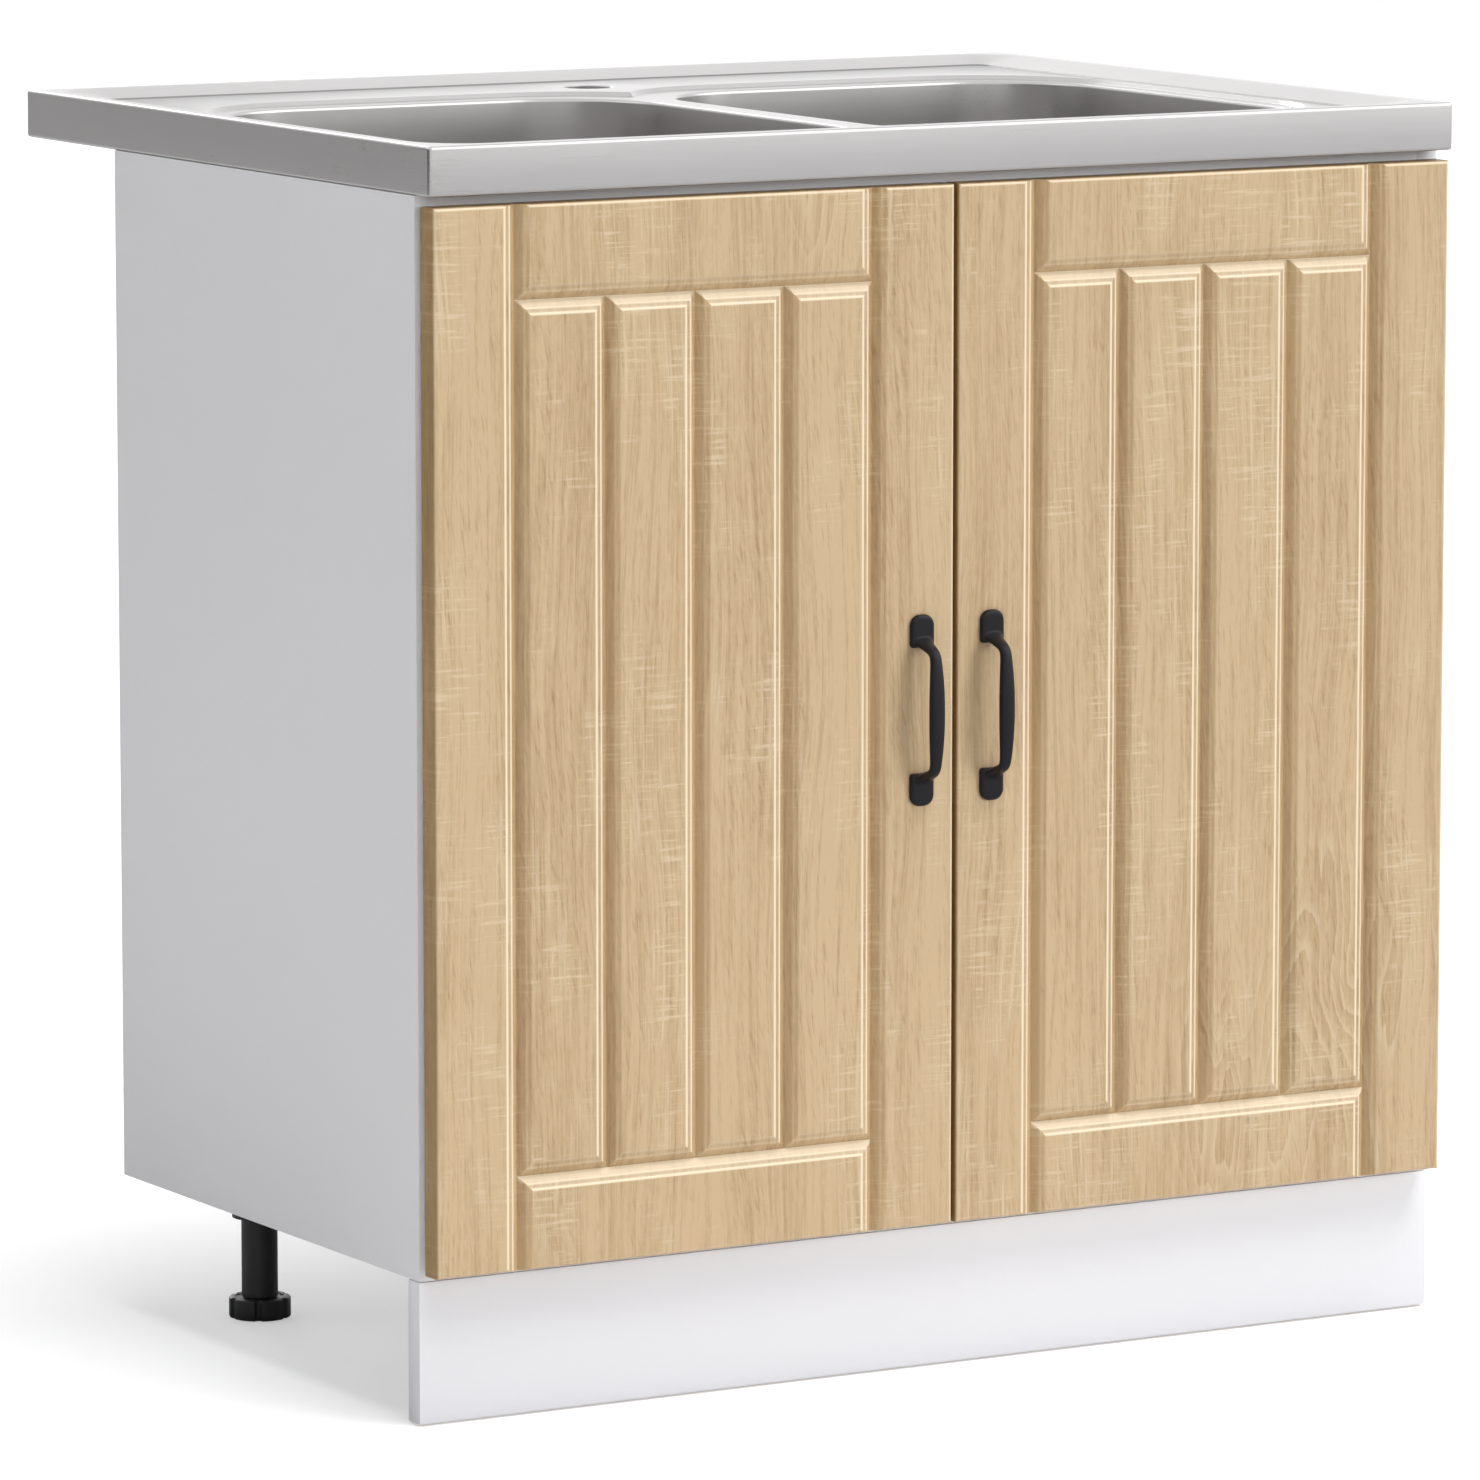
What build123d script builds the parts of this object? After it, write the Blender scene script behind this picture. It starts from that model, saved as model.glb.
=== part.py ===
"""Sink base cabinet: a white board carcass on levelling feet, two grooved oak-effect doors on
concealed hinges, a clip-on plinth and a lay-on double-bowl steel sink.

Millimetres. +X to the right seen from the front, -Y towards the viewer, +Z up. The origin is on
the floor, at the middle of the whole object's plan.
"""

from build123d import *
from math import copysign, cos, radians, sin
import os

# ---- Carcass ---------------------------------------------------------------------------------
cabinet_width = 800.0
carcass_depth = 440.0
carcass_height = 718.0
board = 16.0
plinth_height = 97.0            # floor to the underside of the carcass
rail_height = 80.0
rail_below_bowls = 27.0         # upper rear rail, under the bowl bottoms

# ---- Doors -----------------------------------------------------------------------------------
door_thickness = 18.0
door_to_carcass = 2.5           # gap behind a closed door
door_side_reveal = 3.0          # carcass edge left showing at each side
door_top_reveal = 7.0
door_bottom_reveal = 4.5
door_middle_gap = 3.0
door_arris = 2.6                # rounding of the front edges
stile_width = 52.0              # outer edge to the edge of the first groove
rail_band = 53.0                # top or bottom edge to the edge of the cross groove
plank_count = 4
groove_width = 20.0
groove_shelf_depth = 0.8
groove_shelf = 3.2
groove_slope = 5.0
groove_depth = 4.4

# ---- Concealed hinges ------------------------------------------------------------------------
hinge_from_edge = 95.0          # hinge centre to the door's top or bottom edge
cup_radius = 17.5
cup_depth = 12.3
cup_wall = 0.8
cup_edge_distance = 4.0         # door edge to the cup
cup_flange_start = 8.0          # door edge to the screw flange
cup_flange_width = 26.0
cup_flange_margin = 4.5         # screw to the flange's end
cup_flange_thickness = 1.0
cup_screw_spacing = 45.0
cup_screw_offset = 9.5          # behind the cup's centre, away from the door edge
hinge_pin_radius = 1.5
pin_clearance = 0.05
cup_pin_inset = 12.0            # door edge to the pin in the cup
hinge_pin_depth = 8.0           # door back face to both pins when shut
link_length = 22.0
link_width = 8.0
link_thickness = 3.0
link_eye_radius = 2.6
arm_width = 13.0
arm_eye_radius = 2.6
arm_length = 62.0
arm_reach = 13.0                # how far the arm stands off the side panel
fork_side_gap = 0.3
fork_end_gap = 1.0
plate_thickness = 2.5
plate_depth = 34.0
plate_height = 48.0
plate_setback = 37.0            # carcass front edge to the line of plate screws
plate_screw_spacing = 32.0

# ---- Handles ---------------------------------------------------------------------------------
handle_spacing = 96.0           # screw to screw
handle_from_edge = 26.0         # door's free edge to the handle's centre line
handle_foot_width = 18.0
handle_foot_height = 20.0
handle_foot_thickness = 4.0
handle_foot_edge = 1.6
handle_foot_overhang = 7.0      # foot centre beyond the screw
handle_foot_outer_radius = 7.5
handle_foot_inner_radius = 2.5
handle_bar_width = 11.5
handle_bar_thickness = 7.5
handle_projection = 25.0
handle_neck_width = 8.0         # at the bar's end
handle_neck_root = 13.0         # where it leaves the foot
handle_neck_thickness = 6.5
handle_squareness = 3.0         # how square the bow's shoulders are: 2 is an ellipse
handle_steps = 28               # sections in the bow

# ---- Sink ------------------------------------------------------------------------------------
sink_depth = 600.0
sink_height = 33.0
sheet = 0.8
rim_flat = 12.0
rim_slope = 28.0
rim_corner = 12.0               # radius of the fold at the foot of the rim's slope
outer_corner = 3.0
outer_edge = 1.8                # rounding of the rim's outer edge
deck_drop = 6.5                 # rim top down to the deck
surround_drop = 3.0             # deck down to the field round the bowls
surround_bevel = 3.0
surround_side = 11.0            # bowl edge to the bevel, beside and before the bowls
surround_back = 20.0
surround_overlap = 20.0         # how far each bowl's field crosses the middle
surround_corner = 100.0
return_flange = 28.0
bowl_side_margin = 57.0         # sink's side to the bowl
bowl_length = 400.0
bowl_depth = 150.0
bowl_corner = 78.0
bowl_floor_radius = 22.0
bowl_lip_radius = 5.0
bowl_lip_land = 2.0
bowl_gap = 26.0                 # between the two bowls
bowl_setback = 62.0             # sink front to the bowls
tap_hole_radius = 17.5
tap_hole_setback = 508.0

# ---- Strainers -------------------------------------------------------------------------------
drain_hole_radius = 45.0
strainer_flange_radius = 56.0
strainer_flange_thickness = 1.5
strainer_radius = 43.0
strainer_wall = 1.5
strainer_depth = 45.0
outlet_radius = 23.9            # a G 1 1/2 pipe thread, outside
outlet_bore_radius = 20.0
outlet_length = 22.0
gasket_thickness = 3.0
gasket_inner_gap = 1.0
gasket_outer_radius = 55.0
nut_height = 14.0
nut_wall = 8.0
nut_lugs = 8
nut_lug_width = 8.0
nut_lug_reach = 4.0
nut_gap = 0.3
basket_radius = 40.0
basket_wall = 1.0
basket_depth = 30.0
basket_holes = 12
basket_hole_radius = 2.6
basket_rim_width = 6.0
basket_knob_radius = 7.0
basket_knob_height = 9.0
basket_post_radius = 3.0
basket_seat_gap = 0.3

# ---- Legs, feet and plinth -------------------------------------------------------------------
leg_inset_side = 73.4
leg_inset_end = 64.0
leg_tube_radius = 12.7
leg_bore_radius = 8.05
socket_size = 64.0
socket_plate = 4.0
socket_boss_radius = 19.0
socket_boss_height = 22.0
socket_fit = 0.1
foot_radius = 21.75
foot_height = 14.5
foot_to_tube = 0.5
foot_notches = 6
foot_notch_radius = 2.4
foot_chamfer = 0.8
foot_stem_radius = 8.0
foot_stem_length = 55.0
plinth_thickness = 16.0
plinth_floor_gap = 1.0
plinth_top_gap = 0.5
clip_height = 16.0
clip_level = 55.0
clip_wall = 3.0
clip_side_gap = 0.3
clip_past_leg = 9.0
clip_base_width = 46.0
clip_base_height = 30.0
clip_base_thickness = 3.0

# ---- Board fittings and screws ---------------------------------------------------------------
cam_radius = 7.5
cam_height = 12.5
cam_setback = 34.0              # board end to the cam's centre
cam_slot_radius = 4.0
cam_floor = 0.2
bolt_sleeve_radius = 3.5
bolt_sleeve_length = 11.0
bolt_shank_radius = 2.8
bolt_head_radius = 3.4
bolt_head_length = 3.0
dowel_radius = 3.95
dowel_hole_radius = 4.0
dowel_in_side = 12.0
dowel_in_board = 18.0
fitting_inset = 20.0            # rail edge to its cam or dowel
bottom_fitting_inset = 50.0
bottom_fitting_step = 40.0      # cam to the dowel beside it
hole_bottom_gap = 0.5
bumper_radius = 4.0
bumper_gap = 0.3
bumper_inset = 30.0
wood_screw_radius = 2.0
wood_screw_length = 12.0
wood_screw_head_radius = 3.8
wood_screw_head_height = 1.8
handle_screw_radius = 2.0
handle_screw_grip = 6.0         # thread inside the handle
handle_screw_head_radius = 4.0
handle_screw_head_height = 2.2
bracket_width = 20.0
bracket_height = 26.0
bracket_thickness = 1.5
bracket_end_distance = 92.0     # carcass edge to the bracket's middle

# ---- Places worked out from the sizes --------------------------------------------------------
side_x = cabinet_width / 2
inner_x = side_x - board
door_face_y = handle_projection - (handle_projection + sink_depth) / 2
door_back_y = door_face_y + door_thickness
carcass_front_y = door_back_y + door_to_carcass
carcass_back_y = carcass_front_y + carcass_depth
carcass_top_z = plinth_height + carcass_height
floor_top_z = plinth_height + board

door_width = (cabinet_width - 2 * door_side_reveal - door_middle_gap) / 2
door_low_z = plinth_height + door_bottom_reveal
door_high_z = carcass_top_z - door_top_reveal
door_edge_x = side_x - door_side_reveal
handle_x = door_middle_gap / 2 + handle_from_edge
handle_z = (door_low_z + door_high_z) / 2
hinge_levels = (door_low_z + hinge_from_edge, door_high_z - hinge_from_edge)

pin_y = door_back_y - hinge_pin_depth
cup_pin_x = door_edge_x - cup_pin_inset
arm_pin_x = cup_pin_x - link_length
cup_x = door_edge_x - cup_edge_distance - cup_radius
cup_flange_height = cup_screw_spacing + 2 * cup_flange_margin

sink_back_y = door_face_y + sink_depth
rim_z = carcass_top_z + sink_height
deck_z = rim_z - deck_drop
surround_z = deck_z - surround_drop
bowl_floor_z = surround_z - bowl_depth
bowl_near_x = bowl_gap / 2
bowl_far_x = side_x - bowl_side_margin
bowl_front_y = door_face_y + bowl_setback
bowl_back_y = bowl_front_y + bowl_length
drain_x = (bowl_near_x + bowl_far_x) / 2
drain_y = (bowl_front_y + bowl_back_y) / 2

leg_x = side_x - leg_inset_side
leg_front_y = carcass_front_y + leg_inset_end
leg_back_y = carcass_back_y - leg_inset_end
tube_low_z = foot_height + foot_to_tube
tube_high_z = plinth_height - socket_plate
upper_rail_z = bowl_floor_z - rail_below_bowls - rail_height

SIDES = {"left": -1, "right": 1}


# ---- Shapes used again and again -------------------------------------------------------------
def block(x0, x1, y0, y1, z0, z1):
    """A box between two corners, in any order along X."""
    centre = Pos((x0 + x1) / 2, (y0 + y1) / 2, (z0 + z1) / 2)
    return centre * Box(abs(x1 - x0), abs(y1 - y0), abs(z1 - z0))


def rounded_block(x0, x1, y0, y1, z0, z1, radius):
    """A box whose upright corners are rounded."""
    outline = Pos((x0 + x1) / 2, (y0 + y1) / 2, z0) * RectangleRounded(x1 - x0, y1 - y0, radius)
    return extrude(outline, amount=z1 - z0, dir=(0, 0, 1))


def rod(start, direction, length, radius):
    """A cylinder from a point along a direction."""
    place = Plane(origin=start, z_dir=direction)
    return place * Cylinder(radius, length, align=(Align.CENTER, Align.CENTER, Align.MIN))


def ring(centre, height, inner_radius, outer_radius):
    """An upright tube that starts at a point."""
    up = (0, 0, 1)
    return rod(centre, up, height, outer_radius) - rod(centre, up, height, inner_radius)


def turned(points, x, y):
    """A profile of (radius, height) points turned about an upright axis."""
    profile = make_face(Polyline([(radius, 0, height) for radius, height in points], close=True))
    return Pos(x, y, 0) * revolve(profile, Axis.Z)


def screw(seat, direction, radius, length, head_radius, head_height):
    """A screw whose head sits on a surface and whose shank runs into it."""
    back = tuple(-part for part in direction)
    return rod(seat, direction, length, radius) + rod(seat, back, head_height, head_radius)


def group(shapes):
    """Like pieces that share a node."""
    return Compound(children=[solid for shape in shapes for solid in shape.solids()])


def write(name, shape):
    export_step(shape, f"parts/{name}.step")


# ---- Carcass boards and their fittings -------------------------------------------------------
def board_joints():
    """Where a cross board meets the sides: (y, z, cam direction, cam face, dowel y, dowel z)."""
    mid_floor_z = plinth_height + board / 2
    joints = []
    for y, step in ((carcass_front_y + bottom_fitting_inset, bottom_fitting_step),
                    (carcass_back_y - bottom_fitting_inset, -bottom_fitting_step)):
        cam_face = (y, plinth_height)
        joints.append((y, mid_floor_z, (0, 0, 1), cam_face, y + step, mid_floor_z))
    for low_z, outer_y, inward in ((carcass_top_z - rail_height, carcass_front_y, 1),
                                   (upper_rail_z, carcass_back_y, -1),
                                   (floor_top_z, carcass_back_y, -1)):
        mid_y = outer_y + inward * board / 2
        cam_z = low_z + rail_height - fitting_inset
        cam_face = (outer_y + inward * board, cam_z)
        joints.append((mid_y, cam_z, (0, -inward, 0), cam_face, mid_y, low_z + fitting_inset))
    return joints


def cam_place(joint, side):
    """The middle of a cam's open face."""
    face_y, face_z = joint[3]
    return (side * (inner_x - cam_setback), face_y, face_z)


def fitting_holes():
    """What the cams, bolts and dowels take out of the cross boards and the sides."""
    holes = []
    for joint in board_joints():
        y, z, into, _, dowel_y, dowel_z = joint
        for side in SIDES.values():
            out = (side, 0, 0)
            cam = rod(cam_place(joint, side), into, cam_height + cam_floor, cam_radius)
            run = rod((side * (inner_x - cam_setback), y, z), out, cam_setback, cam_slot_radius)
            sleeve = rod((side * inner_x, y, z), out, bolt_sleeve_length + hole_bottom_gap,
                         bolt_sleeve_radius)
            inner_end = side * (inner_x - dowel_in_board - hole_bottom_gap)
            dowel = rod((inner_end, dowel_y, dowel_z), out,
                        dowel_in_board + dowel_in_side + 2 * hole_bottom_gap, dowel_hole_radius)
            holes += [cam, run, sleeve, dowel]
    return holes


def cam_locks():
    """Round cams in the cross boards, open towards the bolt."""
    cams = []
    for joint in board_joints():
        y, z, into = joint[:3]
        for side in SIDES.values():
            middle = (side * (inner_x - cam_setback), y, z)
            body = rod(cam_place(joint, side), into, cam_height, cam_radius)
            slot = rod((middle[0] - side * cam_slot_radius, y, z), (side, 0, 0),
                       cam_radius + cam_slot_radius, cam_slot_radius)
            cams.append(body - slot)
    return group(cams)


def cam_bolts():
    """Bolts from the sides into the cams."""
    bolts = []
    for joint in board_joints():
        y, z = joint[:2]
        for side in SIDES.values():
            out = (side, 0, 0)
            tip = side * (inner_x - cam_setback)
            shank = rod((tip, y, z), out, cam_setback, bolt_shank_radius)
            head = rod((tip, y, z), out, bolt_head_length, bolt_head_radius)
            sleeve = rod((side * inner_x, y, z), out, bolt_sleeve_length, bolt_sleeve_radius)
            bolts.append(shank + head + sleeve)
    return group(bolts)


def dowels():
    """Wooden dowels beside the bolts."""
    pegs = []
    for joint in board_joints():
        dowel_y, dowel_z = joint[4:]
        for side in SIDES.values():
            inner_end = side * (inner_x - dowel_in_board)
            length = dowel_in_board + dowel_in_side
            pegs.append(rod((inner_end, dowel_y, dowel_z), (side, 0, 0), length, dowel_radius))
    return group(pegs)


def side_panel(side):
    panel = block(side * inner_x, side * side_x, carcass_front_y, carcass_back_y,
                  plinth_height, carcass_top_z)
    return panel - fitting_holes() - plate_screw_holes(side) - bracket_screw_holes(side)


def cross_board(y0, y1, z0, z1):
    """A board between the sides."""
    return block(-inner_x, inner_x, y0, y1, z0, z1) - fitting_holes()


def bottom_panel():
    panel = cross_board(carcass_front_y, carcass_back_y, plinth_height, floor_top_z)
    return panel - leg_screw_holes()


def front_rail():
    return cross_board(carcass_front_y, carcass_front_y + board,
                       carcass_top_z - rail_height, carcass_top_z)


def rear_rail(low_z):
    return cross_board(carcass_back_y - board, carcass_back_y, low_z, low_z + rail_height)


# ---- Legs, feet and plinth -------------------------------------------------------------------
def leg_places():
    """Each leg's name and its centre in plan."""
    rows = {"front": leg_front_y, "rear": leg_back_y}
    return {f"{row}_{name}": (side * leg_x, y)
            for row, y in rows.items() for name, side in SIDES.items()}


def leg_screw_places():
    """The four corners of each socket plate."""
    reach = socket_size / 2 - wood_screw_head_radius * 2
    return [(x + across * reach, y + along * reach)
            for x, y in leg_places().values() for across in (-1, 1) for along in (-1, 1)]


def leg_screw_holes():
    seat_z = plinth_height - socket_plate
    return [rod((x, y, seat_z), (0, 0, 1), wood_screw_length, wood_screw_radius)
            for x, y in leg_screw_places()]


def leg_screws():
    seat_z = plinth_height - socket_plate
    return group([screw((x, y, seat_z), (0, 0, 1), wood_screw_radius, wood_screw_length,
                        wood_screw_head_radius, wood_screw_head_height)
                  for x, y in leg_screw_places()])


def leg_sockets():
    """Square plates under the bottom panel, each with a boss round its tube."""
    sockets = []
    half = socket_size / 2
    plate_z = plinth_height - socket_plate
    for x, y in leg_places().values():
        plate = rounded_block(x - half, x + half, y - half, y + half, plate_z, plinth_height,
                              wood_screw_head_radius)
        boss = rod((x, y, plate_z), (0, 0, -1), socket_boss_height, socket_boss_radius)
        bore = rod((x, y, plate_z), (0, 0, -1), socket_boss_height, leg_tube_radius + socket_fit)
        sockets.append(plate + boss - bore)
    return group(sockets) - leg_screw_holes()


def leg_tubes():
    tubes = [ring((x, y, tube_low_z), tube_high_z - tube_low_z, leg_bore_radius, leg_tube_radius)
             for x, y in leg_places().values()]
    return group(tubes)


def levelling_foot(x, y):
    """A notched disc on a stem that screws up into the tube."""
    disc = rod((x, y, 0), (0, 0, 1), foot_height, foot_radius)
    disc = chamfer(disc.edges().filter_by(GeomType.CIRCLE), foot_chamfer)
    notches = [Pos(x, y, 0) * Rot(0, 0, 360 * turn / foot_notches)
               * rod((foot_radius, 0, 0), (0, 0, 1), foot_height, foot_notch_radius)
               for turn in range(foot_notches)]
    stem = rod((x, y, foot_height), (0, 0, 1), foot_stem_length, foot_stem_radius)
    return disc - notches + stem


def plinth_board():
    return block(-side_x, side_x, carcass_front_y, carcass_front_y + plinth_thickness,
                 plinth_floor_gap, plinth_height - plinth_top_gap)


def plinth_clips():
    """Forks on the back of the plinth that straddle the front legs."""
    clips = []
    back_y = carcass_front_y + plinth_thickness
    low_z = clip_level - clip_height / 2
    inner = leg_tube_radius + clip_side_gap
    for side in SIDES.values():
        x = side * leg_x
        base = block(x - clip_base_width / 2, x + clip_base_width / 2,
                     back_y, back_y + clip_base_thickness,
                     clip_level - clip_base_height / 2, clip_level + clip_base_height / 2)
        prongs = [block(x + hand * inner, x + hand * (inner + clip_wall), back_y,
                        leg_front_y + clip_past_leg, low_z, low_z + clip_height)
                  for hand in (-1, 1)]
        clips.append(base + prongs)
    return group(clips)


# ---- Concealed hinges ------------------------------------------------------------------------
def plate_screw_places():
    y = carcass_front_y + plate_setback
    return [(y, level + row * plate_screw_spacing / 2) for level in hinge_levels
            for row in (-1, 1)]


def plate_screw_holes(side):
    return [rod((side * (inner_x - plate_thickness), y, z), (side, 0, 0),
                wood_screw_length, wood_screw_radius) for y, z in plate_screw_places()]


def hinge_plate_screws():
    return group([screw((side * (inner_x - plate_thickness), y, z), (side, 0, 0),
                        wood_screw_radius, wood_screw_length,
                        wood_screw_head_radius, wood_screw_head_height)
                  for side in SIDES.values() for y, z in plate_screw_places()])


def hinge_plates(side):
    """Plates on the inner face of a side panel, one behind each arm."""
    middle_y = carcass_front_y + plate_setback
    plates = [block(side * (inner_x - plate_thickness), side * inner_x,
                    middle_y - plate_depth / 2, middle_y + plate_depth / 2,
                    level - plate_height / 2, level + plate_height / 2)
              for level in hinge_levels]
    return group(plates) - plate_screw_holes(side)


def hinge_arms(side):
    """Cranked arms that end in a fork inside the cup."""
    base_x = inner_x - plate_thickness
    front_y = carcass_front_y
    outline = [(base_x, front_y + plate_setback - plate_depth / 2),
               (base_x, front_y + arm_length),
               (base_x - arm_reach, front_y + arm_length),
               (base_x - arm_reach, front_y + plate_setback - plate_depth / 4),
               (arm_pin_x - arm_eye_radius, front_y + arm_reach / 2),
               (arm_pin_x - arm_eye_radius, pin_y),
               (arm_pin_x + arm_eye_radius, pin_y),
               (arm_pin_x + arm_eye_radius, front_y + arm_reach / 4)]
    arms = []
    for level in hinge_levels:
        low_z = level - arm_width / 2
        shape = Polygon(*[(side * x, y) for x, y in outline], align=None)
        arm = extrude(Pos(0, 0, low_z) * shape, amount=arm_width, dir=(0, 0, 1))
        arm += rod((side * arm_pin_x, pin_y, low_z), (0, 0, 1), arm_width, arm_eye_radius)
        fork_z = link_width / 2 + fork_side_gap
        reach = link_eye_radius + fork_end_gap
        arm -= block(side * (arm_pin_x - reach), side * (arm_pin_x + reach),
                     pin_y - reach, pin_y + reach, level - fork_z, level + fork_z)
        arm -= rod((side * arm_pin_x, pin_y, low_z), (0, 0, 1), arm_width, hinge_pin_radius)
        arms.append(arm)
    return group(arms)


def hinge_arm_pins():
    return group([rod((side * arm_pin_x, pin_y, level - arm_width / 2), (0, 0, 1), arm_width,
                      hinge_pin_radius)
                  for side in SIDES.values() for level in hinge_levels])


def hinge_links(side):
    """Flat links from the arm's pin to the pin in the cup."""
    links = []
    for level in hinge_levels:
        low_z = level - link_width / 2
        link = block(side * arm_pin_x, side * cup_pin_x, pin_y - link_thickness / 2,
                     pin_y + link_thickness / 2, low_z, low_z + link_width)
        for x in (arm_pin_x, cup_pin_x):
            link += rod((side * x, pin_y, low_z), (0, 0, 1), link_width, link_eye_radius)
        for x in (arm_pin_x, cup_pin_x):
            link -= rod((side * x, pin_y, low_z), (0, 0, 1), link_width,
                        hinge_pin_radius + pin_clearance)
        links.append(link)
    return group(links)


def cup_screw_places(side):
    x = side * (cup_x - cup_screw_offset)
    return [(x, level + row * cup_screw_spacing / 2) for level in hinge_levels
            for row in (-1, 1)]


def cup_screw_holes(side):
    seat_y = door_back_y + cup_flange_thickness
    return [rod((x, seat_y, z), (0, -1, 0), wood_screw_length, wood_screw_radius)
            for x, z in cup_screw_places(side)]


def hinge_cup_screws(side):
    seat_y = door_back_y + cup_flange_thickness
    head_height = door_to_carcass - cup_flange_thickness
    return group([screw((x, seat_y, z), (0, -1, 0), wood_screw_radius, wood_screw_length,
                        wood_screw_head_radius, head_height - bumper_gap)
                  for x, z in cup_screw_places(side)])


def hinge_cups(side):
    """Cups pressed into the door's back, each with its screw flange."""
    cups = []
    start_x = side * (door_edge_x - cup_flange_start)
    for level in hinge_levels:
        centre = (side * cup_x, door_back_y, level)
        flange = block(start_x, start_x - side * cup_flange_width, door_back_y,
                       door_back_y + cup_flange_thickness,
                       level - cup_flange_height / 2, level + cup_flange_height / 2)
        cup = rod(centre, (0, -1, 0), cup_depth, cup_radius)
        hollow_start = (side * cup_x, door_back_y + cup_flange_thickness, level)
        hollow = rod(hollow_start, (0, -1, 0), cup_depth + cup_flange_thickness - cup_wall,
                     cup_radius - cup_wall)
        cups.append(cup + flange - hollow)
    return group(cups) - cup_screw_holes(side)


def cup_pins(side):
    """The pins that cross the cups."""
    inner = cup_radius - cup_wall
    off_middle = abs(cup_pin_x - cup_x) + hinge_pin_radius
    half = (inner ** 2 - off_middle ** 2) ** 0.5
    return group([rod((side * cup_pin_x, pin_y, level - half), (0, 0, 1), 2 * half,
                      hinge_pin_radius) for level in hinge_levels])


# ---- Doors -----------------------------------------------------------------------------------
def groove_outline():
    """A groove's section as (offset across, depth), open towards the face."""
    half = groove_width / 2
    toe = half - groove_shelf - groove_slope
    right = [(toe, groove_depth), (half - groove_shelf, groove_shelf_depth),
             (half, groove_shelf_depth),
             (half, -groove_depth)]
    left = [(-across, depth) for across, depth in reversed(right)]
    return left + right


def upright_groove(x, low_z, high_z):
    section = Polygon(*groove_outline(), align=None)
    return extrude(Pos(x, door_face_y, low_z) * section, amount=high_z - low_z, dir=(0, 0, 1))


def cross_groove(z, low_x, high_x):
    section = Polygon(*[(across, -depth) for across, depth in groove_outline()], align=None)
    place = Plane(origin=(low_x, door_face_y, z), x_dir=(0, 0, 1), z_dir=(1, 0, 0))
    return extrude(place * section, amount=high_x - low_x, dir=(1, 0, 0))


def door_grooves(low_x, high_x):
    """Two stile grooves over the whole height, two cross grooves, and grooves between planks."""
    first_x = low_x + stile_width + groove_width / 2
    last_x = high_x - stile_width - groove_width / 2
    low_z = door_low_z + rail_band + groove_width / 2
    high_z = door_high_z - rail_band - groove_width / 2
    grooves = [upright_groove(x, door_low_z, door_high_z) for x in (first_x, last_x)]
    grooves += [cross_groove(z, first_x, last_x) for z in (low_z, high_z)]
    pitch = (last_x - first_x) / plank_count
    grooves += [upright_groove(first_x + pitch * number, low_z, high_z)
                for number in range(1, plank_count)]
    return grooves


def door(side):
    edges_x = sorted((side * door_edge_x, side * (door_edge_x - door_width)))
    panel = block(*edges_x, door_face_y, door_back_y, door_low_z, door_high_z)
    panel = fillet(panel.faces().sort_by(Axis.Y)[0].edges(), door_arris)
    panel -= door_grooves(*edges_x)
    panel -= [rod((side * cup_x, door_back_y, level), (0, -1, 0), cup_depth, cup_radius)
              for level in hinge_levels]
    panel -= cup_screw_holes(side)
    panel -= [rod((side * handle_x, door_back_y, z), (0, -1, 0), door_thickness,
                  handle_screw_radius) for z in handle_screw_levels()]
    return panel


def handle_screw_levels():
    return [handle_z + end * handle_spacing / 2 for end in (-1, 1)]


def handle_screws(side):
    length = door_thickness + handle_screw_grip - bumper_gap
    return group([screw((side * handle_x, door_back_y, z), (0, -1, 0), handle_screw_radius,
                        length, handle_screw_head_radius, handle_screw_head_height)
                  for z in handle_screw_levels()])


def handle_station(turn):
    """The bow at one angle from foot to foot: (height, stand-off, width, thickness)."""
    reach = handle_spacing / 2 + handle_neck_thickness * 0.3
    crest = handle_projection - handle_bar_thickness / 2
    power = 2 / handle_squareness
    across = abs(cos(radians(turn))) ** power
    rise = sin(radians(turn)) ** power
    bulge = 1 - across ** 2
    flare = (1 - rise) ** 2
    width = (handle_neck_width + (handle_bar_width - handle_neck_width) * bulge
             + (handle_neck_root - handle_neck_width) * flare)
    thickness = (handle_neck_thickness
                 + (handle_bar_thickness - handle_neck_thickness) * bulge)
    return (reach * copysign(across, cos(radians(turn))), crest * rise, width, thickness)


def handle_bow(x):
    """A barrel-shaped bar that bends down to both feet."""
    stations = [handle_station(180 * step / handle_steps) for step in range(handle_steps + 1)]
    sections = []
    for number, (height, off, wide, thick) in enumerate(stations):
        before = stations[max(number - 1, 0)]
        after = stations[min(number + 1, handle_steps)]
        heading = (0, before[1] - after[1], after[0] - before[0])
        place = Plane(origin=(x, door_face_y - off, handle_z + height), x_dir=(1, 0, 0),
                      z_dir=heading)
        sections.append(place * Ellipse(wide / 2, thick / 2))
    return loft(sections, ruled=True)


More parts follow.
